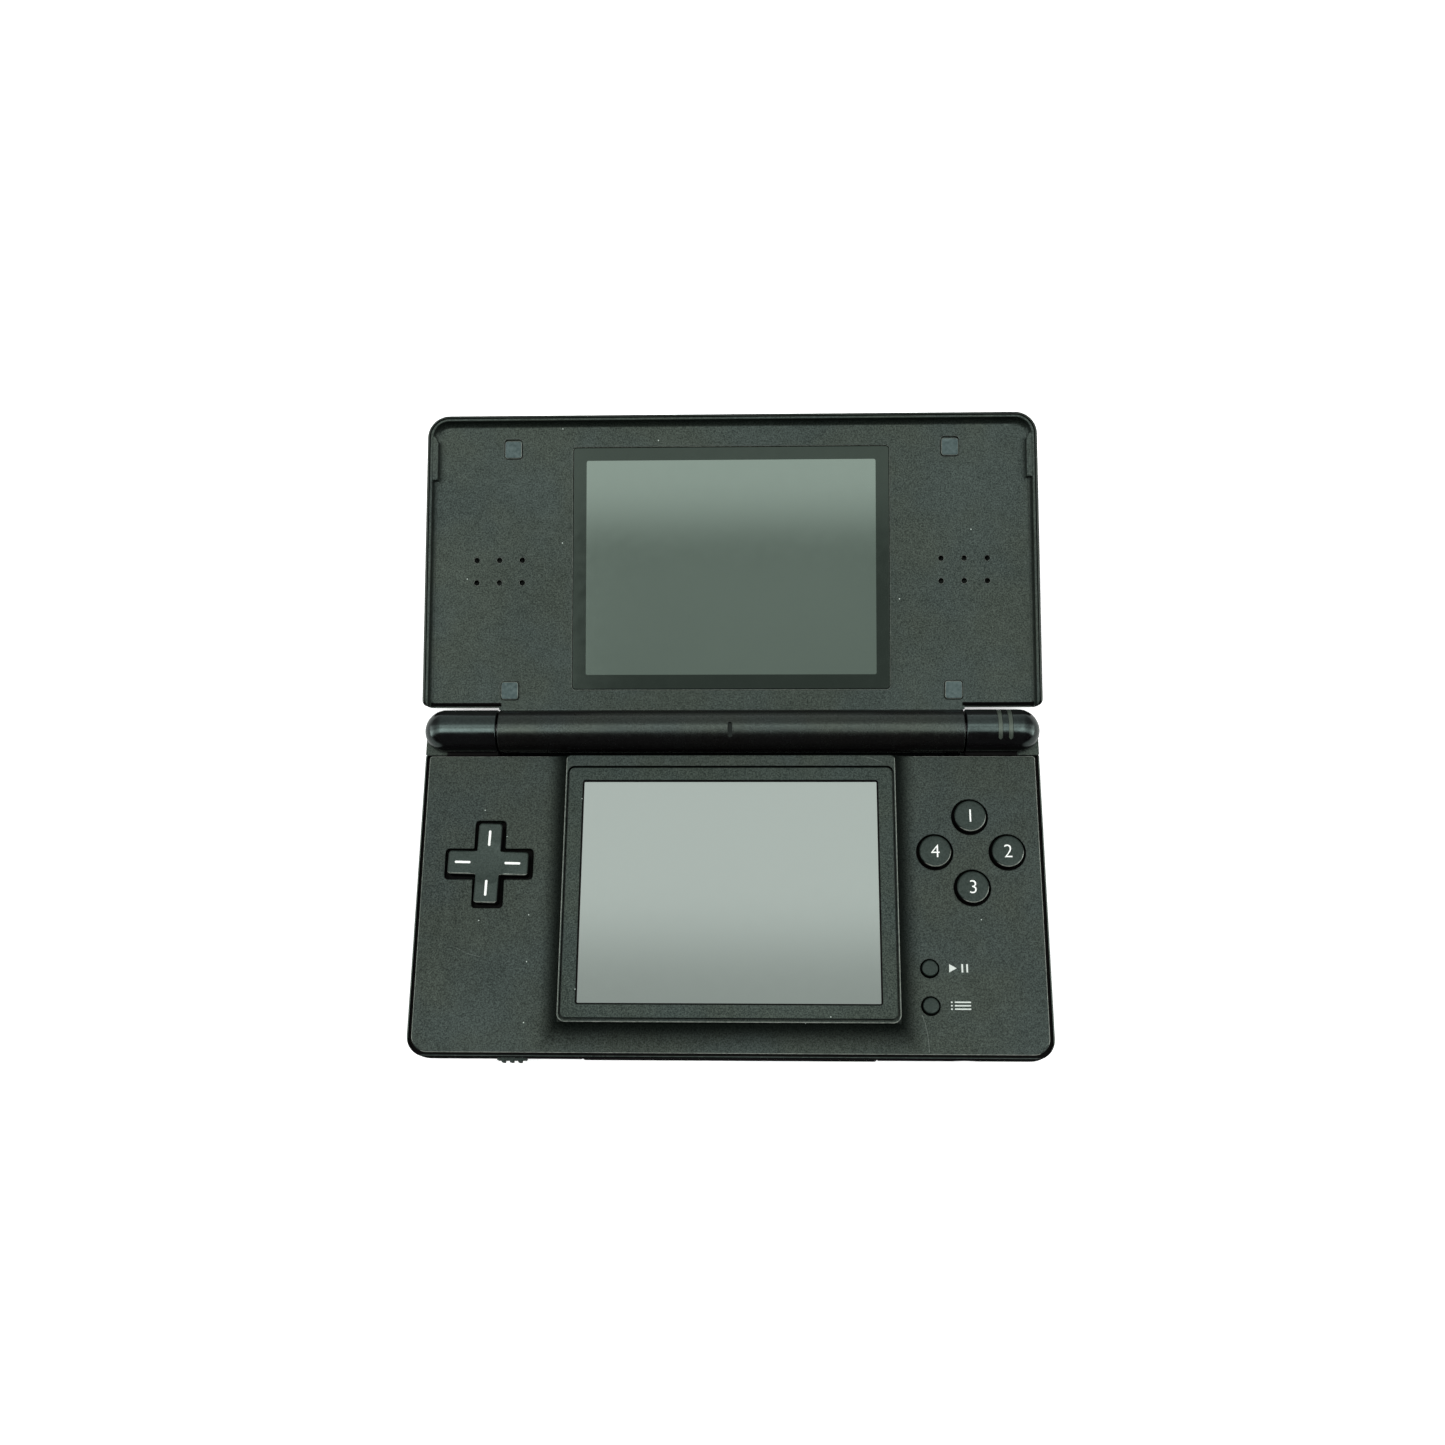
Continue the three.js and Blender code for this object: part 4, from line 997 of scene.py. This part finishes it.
cuts.box(-3, 3, -2, 2, 0.4, 3.6)
cuts.slab((-0.5, 0.5, -1.5, 1.8), 0.49, 8, [(3, 0), (6, 0)])
subtract(barrel, cuts, LID)
inside_barrel = Build().turned([(BARREL_R - 0.4, -70), (BARREL_R - 0.4, 70)], "X", (0, 0, 0), 64)
subtract(neck, inside_barrel, LID)
outer = [widened(part) for part in (rim, face_body, ledges.made("ledges", LID))]
lid_face = joined("lid_face_plate", outer + [neck, barrel])
# Painted shade on the recess walls and the gap at the hinge end; painted highlight on the rounded
# mouths of the holes.
piece(lid_face, FACE, "lid", ["lid_face"], matrix=LID, edge_material=PAINTED_HIGHLIGHT,
      dark=lambda c, n: (-4.5 < c.z < LID_FACE - 0.11 and 7 < c.y < 67 and abs(n.z) < 0.98)
      or (5.4 < c.y < 6.4 and c.z < LID_FACE - 0.01),
      edge=lambda c, n: 0.2 < n.z < 0.9 and 8 < c.y < 66 and abs(c.x) < 63.5 and c.z < LID_FACE)
# The centre barrel has its own, glossier finish.
lid_face.data.materials.append(BARREL)
for polygon in lid_face.data.polygons:
    centre = LID.inverted() @ (polygon.center / MM)
    if centre.y < 5.2 and 4.3 < math.hypot(centre.y, centre.z) < 4.8:
        polygon.material_index = 3

lens = Build().slab(shrunk(LENS, 0.13), 0.65, 8,
                    [(-2.25, 0)] + arc_levels(-1.53, 0, LID_FACE, 0.08, 3)).made("lens_plate", LID)
piece(lens, LENS_MAT, "lid", ["upper_lens"])
display = Build().slab(DISPLAY, 0.4, 5, [(LID_FACE - 0.2, 0), (LID_FACE + 0.012, 0)])
piece(display.made("upper_display", LID), DISPLAY_MAT, "lid", ())
for label, (x, y) in PADS.items():
    pad = Build().slab((x - 1.86, x + 1.86, y - 1.91, y + 1.91), 0.6, 8,
                       [(-2.05, 0)] + arc_levels(-1.25, 0, -1.0, 0.25, 5))
    pad = pad.made(f"rubber_{label}", LID)
    # Painted shade on the pads' lower walls and painted highlight on their rounded top edges.
    piece(pad, RUBBER, "lid", [f"pad_{label}"], matrix=LID, dark=lambda c, n: c.z < -1.3,
          edge=lambda c, n: 0.2 < n.z < 0.85)

# ------------------------------------------------------------------ frame nodes kept as they are
KEPT = {
    INNER: ["lower_lcd", "card_reader", "slot_housing", "charge_socket", "audio_jack",
            "stylus_silo", "upper_lcd", "speaker_left", "speaker_right", "microphone"],
    STEEL_MAT: ["hinge_clutch", "hinge_pin", "battery_screw", "case_screw_1", "case_screw_2",
                "case_screw_3", "case_screw_4", "shoulder_pin_left", "shoulder_pin_right"],
    BOARD: ["main_board", "radio_board"],
    CELL: ["battery"],
    SILICONE: ["dpad_contacts", "action_contacts", "option_contacts", "dpad_pivot"],
    SHELL: ["battery_cover"],
    TOUCH: ["touch_panel"],
}
for material, names in KEPT.items():
    for name in names:
        node = frame["nodes"][name]
        node.data.materials.clear()
        node.data.materials.append(material)

# ------------------------------------------------------------------ studio
# Each ramp runs over the lean of a direction: for DOME, STRIP and FLANK from -1, level in front,
# through 0, straight up, to 1, level behind; for SIDES from 0, straight up, to 1, level at a side.
DOME = [(-1.0, 0.06), (-0.5, 0.06), (-0.38, 0.2), (-0.28, 4.6), (-0.1, 5.4), (-0.02, 3.5),
        (0.08, 2.1), (0.12, 2.1), (0.185, 3.6), (0.27, 3.6), (0.38, 1.3), (0.7, 0.95), (0.88, 1.0),
        (1.0, 1.4)]
# Share of that light in the middle, dimmer just in front of straight up, and to both sides of it.
STRIP = [(-1.0, 1.0), (-0.4, 1.0), (-0.33, 0.19), (-0.08, 0.19), (-0.025, 0.72), (0.05, 0.7),
         (0.11, 1.0), (1.0, 1.0)]
FLANK = [(-1.0, 1.0), (-0.35, 1.0), (-0.22, 1.2), (-0.08, 1.3), (0.08, 1.36), (0.16, 1.0),
         (0.28, 0.82), (0.45, 0.68), (1.0, 0.66)]
SIDES = [(0.0, 1.0), (0.38, 1.0), (0.6, 0.45), (0.8, 0.3), (0.9, 0.4), (1.0, 0.9)]
# A ramp's colours stop at 1, so these two are scaled down by their tops and up again.
DOME_TOP = 5.4
FLANK_TOP = 1.5
# Light from under the horizon, in front and behind, and at the sides.
BELOW = 0.012
BELOW_SIDES = 0.8


def ramp(tree, value, stops):
    node = tree.nodes.new("ShaderNodeValToRGB")
    node.color_ramp.interpolation = "EASE"
    points = node.color_ramp.elements
    while len(points) < len(stops):
        points.new(0.5)
    for point, (place, light) in zip(points, stops):
        point.position = place
        point.color = (light,) * 3 + (1,)
    tree.links.new(value, node.inputs[0])
    return node.outputs[0]


def full_turn(stops, top=1.0):
    """Stops over -1 to 1 as stops over 0 to 1, scaled down by top."""
    return [((lean + 1) / 2, light / top) for lean, light in stops]


def world():
    """A soft dome for light and reflections; the camera itself sees plain white."""
    made = bpy.data.worlds.new("studio")
    bpy.context.scene.world = made
    made.use_nodes = True
    tree = made.node_tree
    tree.nodes.clear()
    out = tree.nodes.new("ShaderNodeOutputWorld")
    seen = tree.nodes.new("ShaderNodeBackground")
    seen.inputs["Color"].default_value = (1, 1, 1, 1)
    lit = tree.nodes.new("ShaderNodeBackground")
    lit.inputs["Color"].default_value = (0.97, 1.0, 0.98, 1)
    coord = tree.nodes.new("ShaderNodeTexCoord")
    split = tree.nodes.new("ShaderNodeSeparateXYZ")
    tree.links.new(coord.outputs["Generated"], split.inputs[0])
    leaning = remap(tree, split.outputs["Y"], -1, 1, 0, 1)
    sideways = math_node(tree, "ABSOLUTE", split.outputs["X"])
    along = ramp(tree, leaning, full_turn(DOME, DOME_TOP))
    across = ramp(tree, sideways, SIDES)
    strip = ramp(tree, leaning, full_turn(STRIP))
    clear = remap(tree, sideways, 0.135, 0.17, 0.0, 1.0)
    flank = ramp(tree, leaning, full_turn(FLANK, FLANK_TOP))
    flank = math_node(tree, "MULTIPLY", flank, FLANK_TOP)
    change = math_node(tree, "MULTIPLY", math_node(tree, "SUBTRACT", flank, strip), clear)
    strip = math_node(tree, "ADD", strip, change)
    level = math_node(tree, "MULTIPLY", math_node(tree, "MULTIPLY", along, across), strip)
    level = math_node(tree, "MULTIPLY", level, DOME_TOP)
    above = remap(tree, split.outputs["Z"], -0.02, 0.02, 0.0, 1.0)
    above = math_node(tree, "MULTIPLY", level, above)
    under = remap(tree, sideways, 0.25, 0.5, BELOW, BELOW_SIDES)
    under = math_node(tree, "MULTIPLY", under,
                      remap(tree, split.outputs["Z"], -0.02, 0.02, 1.0, 0.0))
    tree.links.new(math_node(tree, "ADD", above, under), lit.inputs["Strength"])
    path = tree.nodes.new("ShaderNodeLightPath")
    mix = tree.nodes.new("ShaderNodeMixShader")
    tree.links.new(path.outputs["Is Camera Ray"], mix.inputs[0])
    tree.links.new(lit.outputs[0], mix.inputs[1])
    tree.links.new(seen.outputs[0], mix.inputs[2])
    tree.links.new(mix.outputs[0], out.inputs[0])


world()

floor = Build().box(-6000, 6000, -6000, 6000, -2, -0.02).made("floor")
floor_mat, floor_tree, floor_shader = new_material("floor_white")
floor_shader.inputs["Roughness"].default_value = 0.9
floor_shader.inputs["Specular IOR Level"].default_value = 0.1
floor_grain = noise(floor_tree, object_coords(floor_tree), 30.0)
floor_tree.links.new(mix_colour(floor_tree, floor_grain, (0.93,) * 3, (0.95,) * 3),
                     floor_shader.inputs["Base Color"])
floor_shader.inputs["Emission Color"].default_value = (1, 1, 1, 1)
floor_shader.inputs["Emission Strength"].default_value = 0.45
floor.data.materials.append(floor_mat)
floor.visible_glossy = False

camera_data = bpy.data.cameras.new("camera")
camera_data.sensor_width = 36.0
camera_data.lens = 37.449
camera_data.clip_start = 0.01
camera = bpy.data.objects.new("camera", camera_data)
bpy.context.scene.collection.objects.link(camera)
camera.location = (0.009013, -0.094314, 0.324402)
camera.rotation_euler = (math.radians(17.169), math.radians(1.8306), math.radians(0.4748))
bpy.context.scene.camera = camera
bpy.context.scene.view_settings.view_transform = "Standard"
